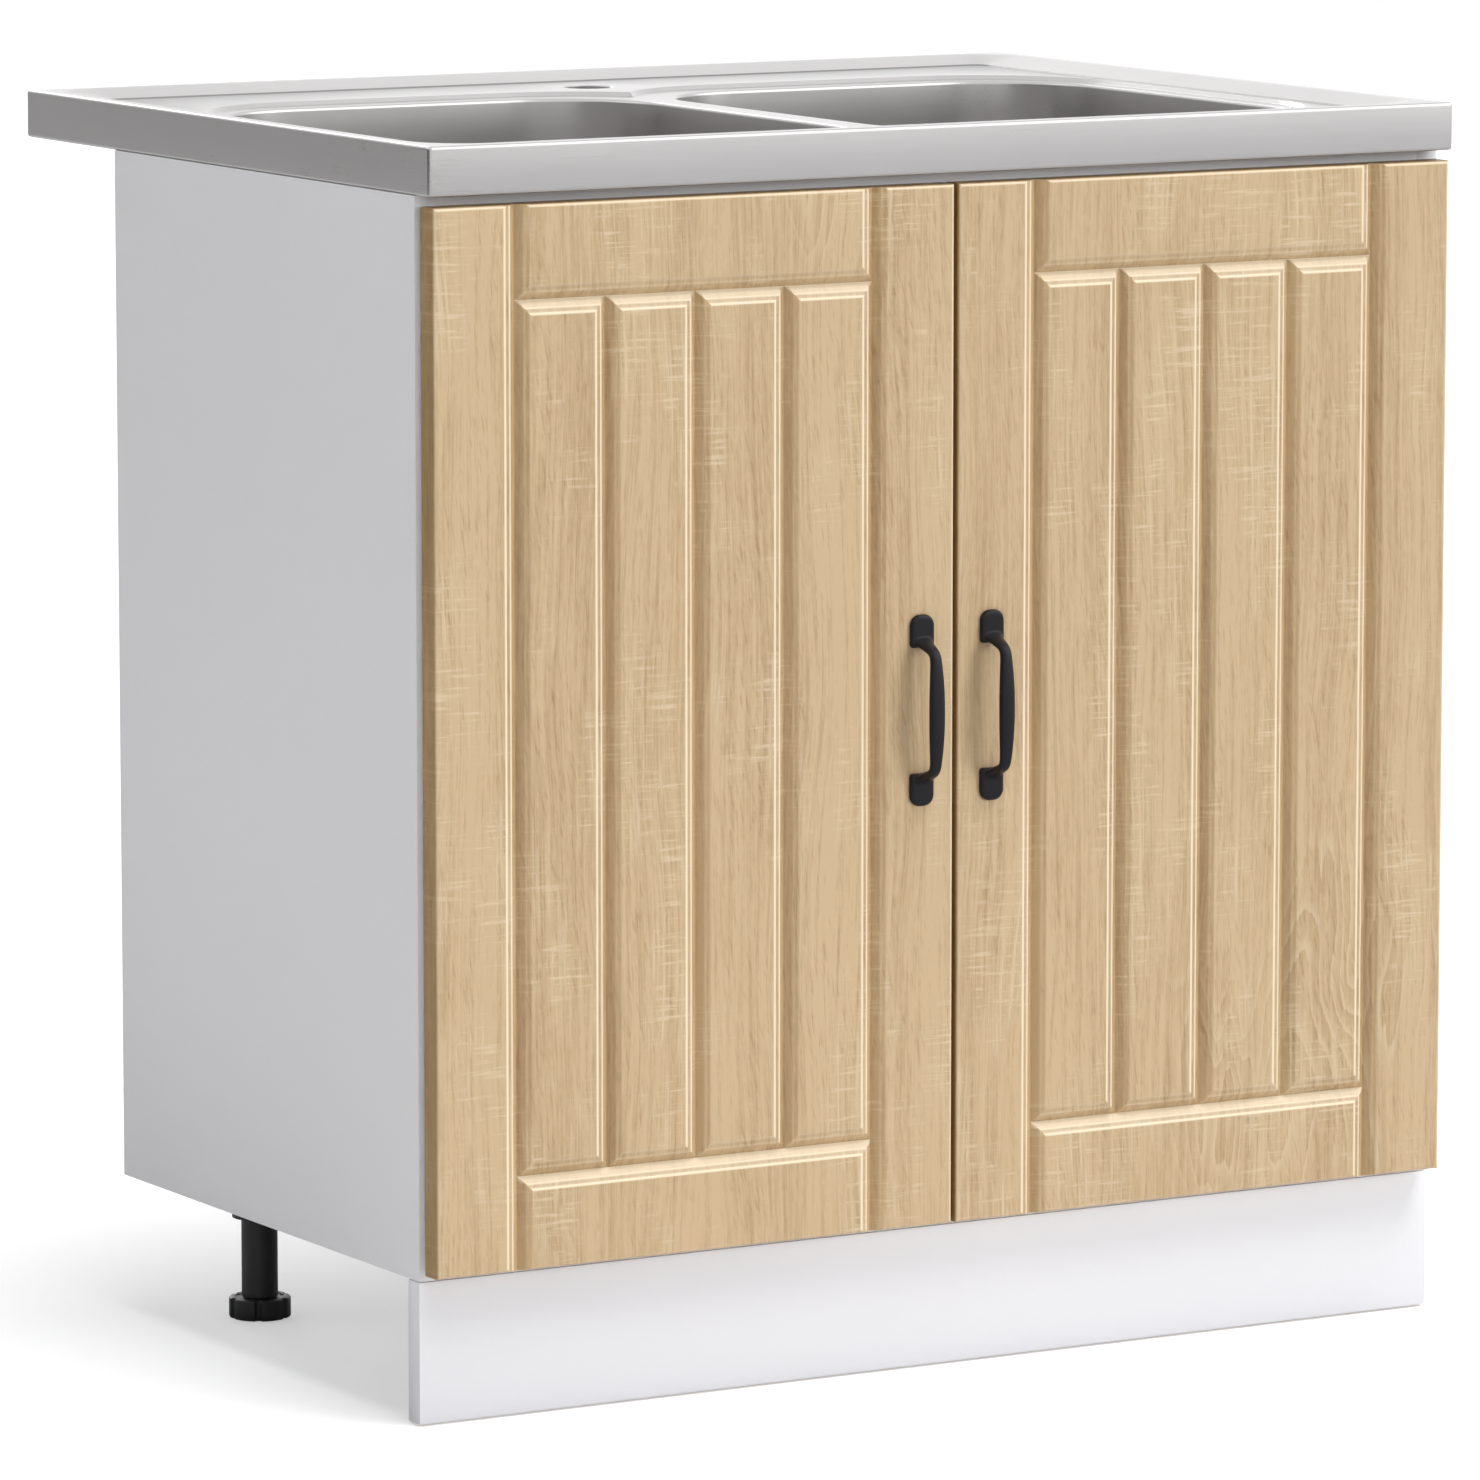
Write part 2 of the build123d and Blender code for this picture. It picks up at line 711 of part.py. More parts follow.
def handle_foot(x, end):
    """A flat foot with a round outer end, at the top (1) or the bottom (-1)."""
    middle_z = handle_z + end * (handle_spacing / 2 + handle_foot_overhang)
    place = Plane(origin=(x, door_face_y, middle_z), x_dir=(end, 0, 0), z_dir=(0, -1, 0))
    outline = place * Rectangle(handle_foot_width, handle_foot_height)
    by_reach = outline.vertices().sort_by(Axis.Z, reverse=end > 0)
    outline = fillet(by_reach[:2], handle_foot_outer_radius)
    by_reach = outline.vertices().sort_by(Axis.Z, reverse=end > 0)
    outline = fillet(by_reach[-2:], handle_foot_inner_radius)
    foot = extrude(outline, amount=handle_foot_thickness, dir=(0, -1, 0))
    return fillet(foot.faces().sort_by(Axis.Y)[0].edges(), handle_foot_edge)


def handle(side):
    """A bow handle: the bar, its two feet and the screw holes."""
    x = side * handle_x
    shape = handle_bow(x) + handle_foot(x, 1) + handle_foot(x, -1)
    shape -= block(x - handle_foot_width, x + handle_foot_width, door_face_y, door_back_y,
                   handle_z - handle_spacing, handle_z + handle_spacing)
    return shape - [rod((x, door_face_y, z), (0, -1, 0), handle_screw_grip, handle_screw_radius)
                    for z in handle_screw_levels()]


def door_bumpers(side):
    """Soft dots near the free edge that meet the bottom panel and the front rail."""
    x = side * (door_middle_gap / 2 + bumper_inset)
    levels = (floor_top_z - bumper_radius - bumper_gap,
              carcass_top_z - rail_height + bumper_inset)
    return group([rod((x, door_back_y, z), (0, 1, 0), door_to_carcass - bumper_gap,
                      bumper_radius) for z in levels])


# ---- Sink ------------------------------------------------------------------------------------
def sink_outline(inset, z0, z1, radius):
    """The sink's plan, drawn in by an inset."""
    return rounded_block(-side_x + inset, side_x - inset, door_face_y + inset,
                         sink_back_y - inset, z0, z1, radius)


def tapered(low, high):
    """A hollow between two rounded rectangles: (x0, x1, y0, y1, z, radius)."""
    faces = [Pos((x0 + x1) / 2, (y0 + y1) / 2, z) * RectangleRounded(x1 - x0, y1 - y0, radius)
             for x0, x1, y0, y1, z, radius in (low, high)]
    return loft(faces, ruled=True)


def rim_hollow():
    """What the rim's slope and the deck take out of the top."""
    fold = rim_flat + rim_slope
    low = (-side_x + fold, side_x - fold, door_face_y + fold, sink_back_y - fold, deck_z,
           rim_corner)
    high = (-side_x + rim_flat, side_x - rim_flat, door_face_y + rim_flat,
            sink_back_y - rim_flat, rim_z, rim_corner + rim_slope)
    return tapered(low, high)


def surround_hollow(side):
    """The field round one bowl, a little below the deck."""
    x0, x1 = sorted((side * -surround_overlap, side * (bowl_far_x + surround_side)))
    y0 = bowl_front_y - surround_side
    y1 = bowl_back_y + surround_back
    low = (x0, x1, y0, y1, surround_z, surround_corner)
    grow = surround_bevel
    high = (x0 - grow, x1 + grow, y0 - grow, y1 + grow, deck_z, surround_corner + grow)
    return tapered(low, high)


def top_hollow():
    hollow = rim_hollow()
    for side in SIDES.values():
        hollow += surround_hollow(side)
    return hollow


def bowl_outline(side, grow, z0, z1):
    """A bowl's plan, grown by an offset."""
    x0, x1 = sorted((side * bowl_near_x, side * bowl_far_x))
    return rounded_block(x0 - grow, x1 + grow, bowl_front_y - grow, bowl_back_y + grow,
                         z0, z1, bowl_corner + grow)


def sink_top():
    """Skirt, rim, deck and the field round the bowls, folded from one sheet."""
    body = sink_outline(0, carcass_top_z, rim_z, outer_corner)
    body = fillet(body.faces().sort_by(Axis.Z)[-1].edges(), outer_edge)
    hollow = top_hollow()
    inside = sink_outline(sheet, carcass_top_z + sheet, rim_z - sheet, outer_corner - sheet)
    inside -= Pos(0, 0, -sheet) * hollow
    mouth = sink_outline(return_flange, carcass_top_z - sheet, carcass_top_z + 2 * sheet,
                         outer_corner)
    body -= [hollow, inside, mouth]
    land = bowl_lip_radius + bowl_lip_land
    body -= [bowl_outline(side, land, carcass_top_z, rim_z) for side in SIDES.values()]
    tap_y = door_face_y + tap_hole_setback
    return body - rod((0, tap_y, carcass_top_z), (0, 0, 1), sink_height, tap_hole_radius)


def bowl_form(side, grow, lip_radius):
    """A bowl with its flared mouth, grown outwards by an offset."""
    floor_z = bowl_floor_z - grow
    mouth_z = surround_z - grow
    form = bowl_outline(side, grow, floor_z, mouth_z)
    form = fillet(form.faces().sort_by(Axis.Z)[0].edges(), bowl_floor_radius + grow)
    wide = 4 * bowl_lip_radius
    form += bowl_outline(side, wide, mouth_z, rim_z)
    x_middle = side * drain_x
    reach = (bowl_far_x - bowl_near_x) / 2 + grow + lip_radius
    throat = [edge for edge in form.edges().filter_by_position(Axis.Z, mouth_z, mouth_z)
              if abs(edge.center().X - x_middle) < reach
              and abs(edge.center().Y - drain_y) < bowl_length / 2 + grow + lip_radius]
    return fillet(throat, lip_radius)


def bowl(side):
    outside = bowl_form(side, sheet, bowl_lip_radius - sheet)
    inside = bowl_form(side, 0, bowl_lip_radius)
    land = bowl_lip_radius + bowl_lip_land
    shell = (outside - inside) & bowl_outline(side, land, bowl_floor_z - 2 * sheet, surround_z)
    return shell - rod((side * drain_x, drain_y, bowl_floor_z - 2 * sheet), (0, 0, 1),
                       bowl_floor_radius, drain_hole_radius)


def sink_brackets():
    """Angles on the side panels that hold the sink's return flange."""
    angles = []
    for side in SIDES.values():
        face_x = side * inner_x
        for y in bracket_places():
            upright = block(face_x - side * bracket_thickness, face_x, y - bracket_width / 2,
                            y + bracket_width / 2, carcass_top_z - bracket_height, carcass_top_z)
            ledge = block(side * (side_x - return_flange), face_x, y - bracket_width / 2,
                          y + bracket_width / 2, carcass_top_z - bracket_thickness,
                          carcass_top_z)
            angles.append(upright + ledge)
    return group(angles) - bracket_screw_holes(-1) - bracket_screw_holes(1)


def bracket_places():
    return (carcass_front_y + bracket_end_distance, carcass_back_y - bracket_end_distance)


def bracket_screw_seats(side):
    z = carcass_top_z - bracket_height / 2 - bracket_thickness
    return [(side * (inner_x - bracket_thickness), y, z) for y in bracket_places()]


def bracket_screw_holes(side):
    return [rod(seat, (side, 0, 0), wood_screw_length, wood_screw_radius)
            for seat in bracket_screw_seats(side)]


def bracket_screws():
    return group([screw(seat, (side, 0, 0), wood_screw_radius, wood_screw_length,
                        wood_screw_head_radius, wood_screw_head_height)
                  for side in SIDES.values() for seat in bracket_screw_seats(side)])


# ---- Strainers -------------------------------------------------------------------------------
def strainer_body(side):
    """A flanged cup with a threaded outlet."""
    top = bowl_floor_z + strainer_flange_thickness
    floor = bowl_floor_z - strainer_depth
    inner = strainer_radius - strainer_wall
    points = [(strainer_flange_radius, bowl_floor_z), (strainer_flange_radius, top),
              (inner, top), (inner, floor + strainer_wall),
              (outlet_bore_radius, floor + strainer_wall),
              (outlet_bore_radius, floor - outlet_length), (outlet_radius, floor - outlet_length),
              (outlet_radius, floor), (strainer_radius, floor), (strainer_radius, bowl_floor_z)]
    return turned(points, side * drain_x, drain_y)


def strainer_gasket(side):
    low_z = bowl_floor_z - sheet - gasket_thickness
    return ring((side * drain_x, drain_y, low_z), gasket_thickness,
                strainer_radius + gasket_inner_gap, gasket_outer_radius)


def strainer_nut(side):
    """A ring nut with lugs, screwed up against the gasket."""
    low_z = bowl_floor_z - sheet - gasket_thickness - nut_height
    centre = (side * drain_x, drain_y, low_z)
    inner = strainer_radius + nut_gap
    nut = rod(centre, (0, 0, 1), nut_height, inner + nut_wall)
    for number in range(nut_lugs):
        lug = block(0, inner + nut_wall + nut_lug_reach, -nut_lug_width / 2, nut_lug_width / 2,
                    0, nut_height)
        nut += Pos(*centre) * Rot(0, 0, 360 * number / nut_lugs) * lug
    return nut - rod(centre, (0, 0, 1), nut_height, inner)


def strainer_basket(side):
    """A perforated cup with a lifting knob, hung by its rim on the strainer's flange."""
    rim_low = bowl_floor_z + strainer_flange_thickness + basket_seat_gap
    rim_high = rim_low + basket_wall
    floor = rim_low - basket_depth
    inner = basket_radius - basket_wall
    points = [(0, floor), (basket_radius, floor), (basket_radius, rim_low),
              (basket_radius + basket_rim_width, rim_low),
              (basket_radius + basket_rim_width, rim_high), (inner, rim_high),
              (inner, floor + basket_wall), (basket_post_radius, floor + basket_wall),
              (basket_post_radius, rim_high), (basket_knob_radius, rim_high),
              (basket_knob_radius, rim_high + basket_knob_height),
              (0, rim_high + basket_knob_height)]
    basket = turned(points, 0, 0)
    hole_circle = (basket_post_radius + inner) / 2
    for number in range(basket_holes):
        turn = Rot(0, 0, 360 * number / basket_holes)
        basket -= turn * rod((hole_circle, 0, floor), (0, 0, 1), basket_wall, basket_hole_radius)
        slot_z = floor + basket_depth / 2
        basket -= turn * rod((inner - basket_wall, 0, slot_z), (1, 0, 0), 3 * basket_wall,
                             basket_hole_radius)
    return Pos(side * drain_x, drain_y, 0) * basket


# ---- Write every sub-part --------------------------------------------------------------------
def main():
    os.makedirs("parts", exist_ok=True)
    write("bottom_panel", bottom_panel())
    write("front_rail", front_rail())
    write("rear_upper_rail", rear_rail(upper_rail_z))
    write("rear_lower_rail", rear_rail(floor_top_z))
    write("cam_locks", cam_locks())
    write("cam_bolts", cam_bolts())
    write("dowels", dowels())
    write("leg_sockets", leg_sockets())
    write("leg_screws", leg_screws())
    write("leg_tubes", leg_tubes())
    for name, (x, y) in leg_places().items():
        write(f"{name}_foot", levelling_foot(x, y))
    write("plinth_board", plinth_board())
    write("plinth_clips", plinth_clips())
    write("hinge_plate_screws", hinge_plate_screws())
    write("hinge_arm_pins", hinge_arm_pins())
    write("sink_top", sink_top())
    write("sink_brackets", sink_brackets())
    write("bracket_screws", bracket_screws())
    for name, side in SIDES.items():
        write(f"{name}_side_panel", side_panel(side))
        write(f"{name}_hinge_plates", hinge_plates(side))
        write(f"{name}_hinge_arms", hinge_arms(side))
        write(f"{name}_hinge_links", hinge_links(side))
        write(f"{name}_hinge_cups", hinge_cups(side))
        write(f"{name}_cup_pins", cup_pins(side))
        write(f"{name}_cup_screws", hinge_cup_screws(side))
        write(f"{name}_door", door(side))
        write(f"{name}_handle", handle(side))
        write(f"{name}_handle_screws", handle_screws(side))
        write(f"{name}_door_bumpers", door_bumpers(side))
        write(f"{name}_bowl", bowl(side))
        write(f"{name}_strainer_body", strainer_body(side))
        write(f"{name}_strainer_gasket", strainer_gasket(side))
        write(f"{name}_strainer_nut", strainer_nut(side))
        write(f"{name}_strainer_basket", strainer_basket(side))


if __name__ == "__main__":
    main()
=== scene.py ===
"""Looks of the sink base cabinet: boards, film-faced doors, bow handles, a pressed steel sink and
the fittings that show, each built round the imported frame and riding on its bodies."""

import math

import bmesh
import bpy
from bpy.props import FloatProperty, FloatVectorProperty, IntProperty, PointerProperty
from mathutils import Matrix, Vector


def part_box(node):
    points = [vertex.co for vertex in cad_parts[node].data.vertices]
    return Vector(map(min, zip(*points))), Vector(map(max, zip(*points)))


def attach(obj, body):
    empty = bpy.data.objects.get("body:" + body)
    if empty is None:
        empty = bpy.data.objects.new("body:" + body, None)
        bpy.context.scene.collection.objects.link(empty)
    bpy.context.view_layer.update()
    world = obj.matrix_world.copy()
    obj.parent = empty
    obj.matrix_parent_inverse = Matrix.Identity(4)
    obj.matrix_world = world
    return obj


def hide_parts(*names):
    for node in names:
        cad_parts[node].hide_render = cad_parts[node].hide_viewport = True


bl_info = {
    "name": "Sink base cabinet",
    "version": (1, 0, 0),
    "blender": (4, 5, 0),
    "location": "3D View > Sidebar > Sink cabinet",
    "description": "Builds the pieces and finishes of a sink base cabinet round its packed frame",
    "category": "Object",
}

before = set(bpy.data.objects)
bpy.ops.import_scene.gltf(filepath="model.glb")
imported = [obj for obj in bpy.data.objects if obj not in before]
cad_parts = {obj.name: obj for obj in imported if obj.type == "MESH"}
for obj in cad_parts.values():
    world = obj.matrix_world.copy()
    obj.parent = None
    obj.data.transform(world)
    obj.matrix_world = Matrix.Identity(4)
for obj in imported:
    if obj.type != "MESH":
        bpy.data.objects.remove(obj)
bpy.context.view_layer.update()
SIDES = {"left": -1, "right": 1}


# ---- Sizes read from the frame ---------------------------------------------------------------
def low(node):
    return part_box(node)[0]


def high(node):
    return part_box(node)[1]


def upright_axis(node):
    """The point on the floor under the middle of a node."""
    return (low(node) + high(node)) * Vector((0.5, 0.5, 0.0))


FRONT_Y, BACK_Y = low("sink_top").y, high("sink_top").y
SIDE_X = high("right_side_panel").x
SKIRT_Z, RIM_Z = low("sink_top").z, high("sink_top").z
DECK_DROP, FIELD_DROP, BOWL_DEPTH = 0.0065, 0.003, 0.150
DECK_Z = RIM_Z - DECK_DROP
FIELD_Z = DECK_Z - FIELD_DROP
BOWL_FLOOR_Z = FIELD_Z - BOWL_DEPTH
BOWL_FRONT_Y = FRONT_Y + 0.062
BOWL_BACK_Y = BOWL_FRONT_Y + 0.400
BOWL_NEAR_X, BOWL_FAR_X = 0.013, SIDE_X - 0.057
BOWL_MOUTH = 0.007          # how far a bowl's piece reaches into the field round its mouth
FIELD_RADIUS, FIELD_CENTRE_X = 0.100, 0.080
FIELD_FRONT, FIELD_BACK, FIELD_SIDE = 0.011, 0.020, 0.011
TAP_Y = 0.2205
DRAIN_RADIUS = 0.045        # the hole in a bowl's floor


# ---- Settings --------------------------------------------------------------------------------
def length(name, description, default):
    return FloatProperty(name=name, description=description, default=default, min=0.0,
                         subtype="DISTANCE", unit="LENGTH", precision=5)


def colour(name, description, default):
    return FloatVectorProperty(name=name, description=description, default=default, size=3,
                               min=0.0, max=1.0, subtype="COLOR")


def factor(name, description, default):
    return FloatProperty(name=name, description=description, default=default, min=0.0, max=1.0,
                         subtype="FACTOR")


def strength(name, description, default):
    return FloatProperty(name=name, description=description, default=default, min=0.0)


def angle(name, description, degrees):
    return FloatProperty(name=name, description=description, default=math.radians(degrees),
                         min=0.0, subtype="ANGLE", unit="ROTATION")


class SINKCAB_carcass(bpy.types.PropertyGroup):
    """Boards and legs."""
    board_edge: length("Board edge", "Rounding of the boards' edges", 0.0004)
    board_colour: colour("Board", "White melamine board", (0.80, 0.80, 0.815))
    plinth_colour: colour("Plinth", "White film on the plinth", (0.84, 0.84, 0.87))
    chipboard_colour: colour("Chipboard", "Raw edges of the boards", (0.50, 0.36, 0.22))
    plastic_colour: colour("Leg plastic", "Black moulded plastic", (0.012, 0.012, 0.014))
    zinc_colour: colour("Zinc", "Zinc-plated steel and cams", (0.58, 0.59, 0.62))


class SINKCAB_doors(bpy.types.PropertyGroup):
    """Grooved doors in oak film."""
    arris: length("Front rounding", "Radius of the door's front edges", 0.0026)
    groove_width: length("Groove width", "Whole width of a groove", 0.0186)
    notch_width: length("Notch width", "Width of the V notch in a groove", 0.0104)
    groove_depth: length("Groove depth", "Depth of the V notch's point", 0.0047)
    shelf_depth: length("Shelf depth", "Depth of the shelf on each side of the notch", 0.0008)
    stile_width: length("Stile", "Door edge to the first groove", 0.0527)
    rail_band: length("Rail", "Door edge to the cross groove", 0.0537)
    plank_count: IntProperty(name="Planks", description="Planks between the stiles", default=4,
                             min=1, max=9)
    oak_light: colour("Oak, light", "Pale ground of the film", (0.605, 0.446, 0.264))
    oak_dark: colour("Oak, dark", "Darker grain of the film", (0.375, 0.240, 0.115))
    # The cream also colours the painted highlights on the doors' edges.
    oak_cream: colour("Oak, cream", "Saw marks, figure and rubbed edges", (0.790, 0.660, 0.470))
    back_colour: colour("Door back", "White back of the doors", (0.80, 0.80, 0.80))


class SINKCAB_handles(bpy.types.PropertyGroup):
    """Bow handles."""
    spacing: length("Screw spacing", "Screw to screw", 0.096)
    bar_width: length("Bar width", "Widest part of the bar", 0.0115)
    bar_thickness: length("Bar thickness", "Thickest part of the bar", 0.0075)
    neck_width: length("Neck width", "Width of the neck by the bar", 0.0080)
    neck_root: length("Neck root", "Width of the neck at the foot", 0.0150)
    neck_thickness: length("Neck thickness", "Thickness of the neck", 0.0065)
    finish_colour: colour("Handle", "Dark powder coat", (0.010, 0.0095, 0.0125))


class SINKCAB_sink(bpy.types.PropertyGroup):
    """Pressed steel sink."""
    sheet: length("Sheet", "Thickness of the steel", 0.0008)
    rim_flat: length("Rim flat", "Flat top of the rim", 0.012)
    rim_slope: length("Rim slope", "Run of the slope inside the rim", 0.028)
    bowl_corner: length("Bowl corner", "Plan radius of the bowls", 0.078)
    floor_radius: length("Floor radius", "Radius between wall and floor", 0.022)
    lip_radius: length("Lip radius", "Radius of the bowls' lip", 0.0025)
    steel_colour: colour("Steel", "Brushed steel", (0.565, 0.552, 0.550))
    steel_roughness: factor("Roughness", "Roughness of the brushed steel", 0.30)


class SINKCAB_stage(bpy.types.PropertyGroup):
    """Floor, light and camera."""
    floor_colour: colour("Floor", "Pale floor", (0.80, 0.80, 0.805))
    floor_glow: strength("Floor glow", "Lift of the floor for the camera", 0.42)
    floor_dulling: factor("Floor dulling", "How much darker reflections see the floor", 0.28)
    ambient: strength("Ambient", "World light on the object", 0.28)
    key_strength: strength("Key", "Strength of the low key light", 1.05)
    top_strength: strength("Top", "Strength of the high light", 2.7)
    shine_strength: strength("Shine", "Strength of the light that only gloss mirrors", 1.1)
    side_strength: strength("Side", "Strength of the soft side light", 0.22)
    back_strength: strength("Back", "Strength of the light behind", 0.45)
    widest: angle("Widest light", "Width of the shine", 60)
    broad: angle("Broad light", "Width of the top and the side light", 44)
    narrow: angle("Narrow light", "Width of the key and the back light", 20)


SETTINGS = {"sinkcab_carcass": SINKCAB_carcass, "sinkcab_doors": SINKCAB_doors,
            "sinkcab_handles": SINKCAB_handles, "sinkcab_sink": SINKCAB_sink,
            "sinkcab_stage": SINKCAB_stage}


def settings(name):
    """One of the scene's property groups."""
    return getattr(bpy.context.scene, "sinkcab_" + name)


# ---- Node building ---------------------------------------------------------------------------
class Wire:
    """A node's output. Sums and products of it become Math nodes."""

    def __init__(self, graph, socket):
        self.graph, self.socket = graph, socket

    def math(self, operation, *values, clamp=False):
        return self.graph.wire("ShaderNodeMath", dict(enumerate((self, *values))),
                               operation=operation, use_clamp=clamp)

    def __add__(self, other):
        return self.math("ADD", other)

    def __sub__(self, other):
        return self.math("SUBTRACT", other)

    def __mul__(self, other):
        return self.math("MULTIPLY", other)

    def spread(self, low_from, high_from, low_to=0.0, high_to=1.0):
        """The value moved from one range to another, smoothly and held at the ends."""
        return self.graph.wire("ShaderNodeMapRange",
                               {"Value": self, "From Min": low_from, "From Max": high_from,
                                "To Min": low_to, "To Max": high_to},
                               interpolation_type="SMOOTHSTEP")


class Graph:
    """A node tree that is being built."""

    def __init__(self, tree):
        self.tree = tree

    def node(self, kind, inputs=None, **traits):
        """A node with its traits, and its inputs given as values or as wires to link."""
        made = self.tree.nodes.new(kind)
        for key, value in traits.items():
            setattr(made, key, value)
        for key, value in (inputs or {}).items():
            self.plug(value, made.inputs[key])
        return made

    def plug(self, value, socket):
        if isinstance(value, Wire):
            self.tree.links.new(value.socket, socket)
        else:
            socket.default_value = value

    def wire(self, kind, inputs=None, out=0, **traits):
        """One output of a new node."""
        return Wire(self, self.node(kind, inputs, **traits).outputs[out])

    def coordinates(self, kind="Object"):
        return self.wire("ShaderNodeTexCoord", out=kind)

    def attribute(self, name):
        return self.wire("ShaderNodeAttribute", out="Fac", attribute_name=name)

    def vector(self, x=0.0, y=0.0, z=0.0):
        return self.wire("ShaderNodeCombineXYZ", {0: x, 1: y, 2: z})

    def moved(self, place, shift):
        return self.wire("ShaderNodeVectorMath", {0: place, 1: shift}, operation="ADD")

    def noise(self, place, size, detail=2.0, roughness=0.5, distortion=0.0, scale=1.0):
        """Noise of one size, or of a size along each axis."""
        if isinstance(size, tuple):
            place = self.wire("ShaderNodeVectorMath", {0: place, 1: size}, operation="MULTIPLY")
        else:
            scale = size
        return self.wire("ShaderNodeTexNoise",
                         {"Vector": place, "Scale": scale, "Detail": detail,
                          "Roughness": roughness, "Distortion": distortion}, "Fac")

    def mix(self, amount, first, second, blend_type="MIX"):
        """Two colours mixed."""
        return self.wire("ShaderNodeMix", {0: amount, 6: first, 7: second}, 2,
                         data_type="RGBA", blend_type=blend_type)

    def grey(self, level):
        return self.wire("ShaderNodeCombineColor", {0: level, 1: level, 2: level})

    def shaded(self, tone, level):
        """A colour made lighter or darker."""
        return self.mix(1.0, tone, self.grey(level), "MULTIPLY")


def group_tree(name, tree_kind, inputs, outputs):
    """A node group with its sockets: (graph, wires of the inputs, output node). The sockets are
    given as name: kind, or as name: default value of a float or a colour."""
    tree = bpy.data.node_groups.new(name, tree_kind)
    for sockets, way in ((inputs, "INPUT"), (outputs, "OUTPUT")):
        for label, given in sockets.items():
            kind = {float: "Float", tuple: "Color"}.get(type(given), given)
            socket = tree.interface.new_socket(name=label, in_out=way,
                                               socket_type="NodeSocket" + kind)
            if kind != given:
                socket.default_value = given
    graph = Graph(tree)
    given = graph.node("NodeGroupInput").outputs
    return (graph, {label: Wire(graph, given[label]) for label in inputs},
            graph.node("NodeGroupOutput"))


def surface_group(name, inputs, build):
    """A shader group that gives a colour, a roughness and a height."""
    outputs = {"Color": "Color", "Roughness": "Float", "Height": "Float"}
    graph, given, out = group_tree(name, "ShaderNodeTree", inputs, outputs)
    for label, value in zip(outputs, build(graph, given)):
        graph.plug(value, out.inputs[label])
    return graph.tree


def oak_film(graph, given):
    """Pale sawn oak: bands, streaks and slanting pores, cathedral figure, saw marks across, and
    painted shade down in the grooves and on the side faces, and painted highlights on the edges
    that face the light."""
    noise = graph.noise
    place = graph.moved(graph.coordinates(), graph.vector(x=given["Shift"], z=given["Shift"]))
    # The fibres wander a little from side to side.
    wander = (noise(place, (9.0, 3.0, 2.6)) - 0.5) * 0.045
    fibres = graph.moved(place, graph.vector(x=wander))
    bands = noise(fibres, (30.0, 6.0, 1.1), 3.0, 0.55)
    streaks = noise(fibres, (210.0, 90.0, 5.5), 4.0, 0.62)
    hairs = noise(fibres, (900.0, 420.0, 22.0))
    ripples = noise(fibres, (290.0, 140.0, 95.0), 3.0, 0.6, 0.7)
    # Pores are short dark flecks that lean to the right and stand in clusters.
    leaning = graph.wire("ShaderNodeVectorRotate", {"Vector": fibres, "Angle": 0.16},
                         rotation_type="Y_AXIS")
    clusters = noise(fibres, (26.0, 8.0, 5.0)).spread(0.36, 0.62, 0.25, 1.0)
    pores = noise(leaning, (520.0, 260.0, 62.0)).spread(0.54, 0.70) * clusters
    # Cathedral figure: level lines of a slow hill-shaped field, only in some patches.
    hill = noise(place, (15.0, 4.0, 3.0), 2.0, 0.4, 0.3) + hairs * 0.012 + streaks * 0.020
    rings = (hill * 22.0).math("FRACT")
    ring_edge = rings.spread(0.62, 0.92) * rings.spread(1.0, 0.95)
    ring_shade = (rings * -1.0 + 1.0).math("POWER", 2.0)
    figure = noise(place, (7.0, 3.0, 2.2), 1.0, 0.4).spread(0.55, 0.68)
    # Saw marks: pale lines across the grain, hatched with upright ones, in other patches.
    marks = noise(place, (24.0, 10.0, 360.0), 3.0, 0.6).spread(0.50, 0.68)
    uprights = noise(fibres, (400.0, 200.0, 11.0), 2.0, 0.6).spread(0.50, 0.70)
    sawn = noise(place, (16.0, 4.0, 7.0), 3.0, 0.6, scale=1.3).spread(0.47, 0.62)
    hatching = marks.math("MAXIMUM", uprights * 0.8) * sawn
    # How dark the grain is: broad bands, streaks, pores and the shaded side of each ring.
    depth = ((bands - 0.34) * 0.95 + (streaks - 0.5) * 1.55 + (hairs - 0.5)
             + (ripples - 0.5) * 0.70 + pores * 0.34)
    depth = depth.math("ADD", ring_shade * figure * 0.26, clamp=True)
    tone = graph.mix(depth, given["Light"], given["Dark"])
    pale = (ring_edge * figure * 0.24).math("MAXIMUM", hatching * 0.48, clamp=True)
    tone = graph.mix(pale, tone, given["Cream"])
    # Painted shade: where the groove attribute says, the film is darkened in the grooves, on
    # their far shelves, near the doors' outer edges and on the doors' side faces.
    painted_shade = graph.mix(1.0, tone, (0.62, 0.50, 0.30, 1.0), "MULTIPLY")
    tone = graph.mix(graph.attribute("groove"), tone, painted_shade)
    # Painted highlight: a light cream on the edges that face the light.
    highlight = graph.mix(0.3, given["Cream"], (1.0, 0.88, 0.66, 1.0))
    tone = graph.mix(graph.attribute("rubbed"), tone, highlight)
    return tone, streaks * 0.16 + 0.28, pores * -0.8 + hairs * 0.5


def fine_grain(graph, given):
    """Fine moulded or sprayed grain with slow unevenness, for boards, plastics and rubber."""
    noise, place = graph.noise, graph.coordinates()
    fine = noise(place, given["Scale"], 3.0, 0.6)
    slow = noise(place, 5.0, 3.0, 0.6)
    smudge = noise(place, (22.0, 22.0, 9.0), 4.0, 0.6)
    level = (slow - 0.5) * given["Mottle"] + (fine - 0.5) * given["Mottle"] + 1.0
    gloss = (smudge - 0.5) * given["Spread"] + given["Roughness"]
    return graph.shaded(given["Color"], level), gloss, fine


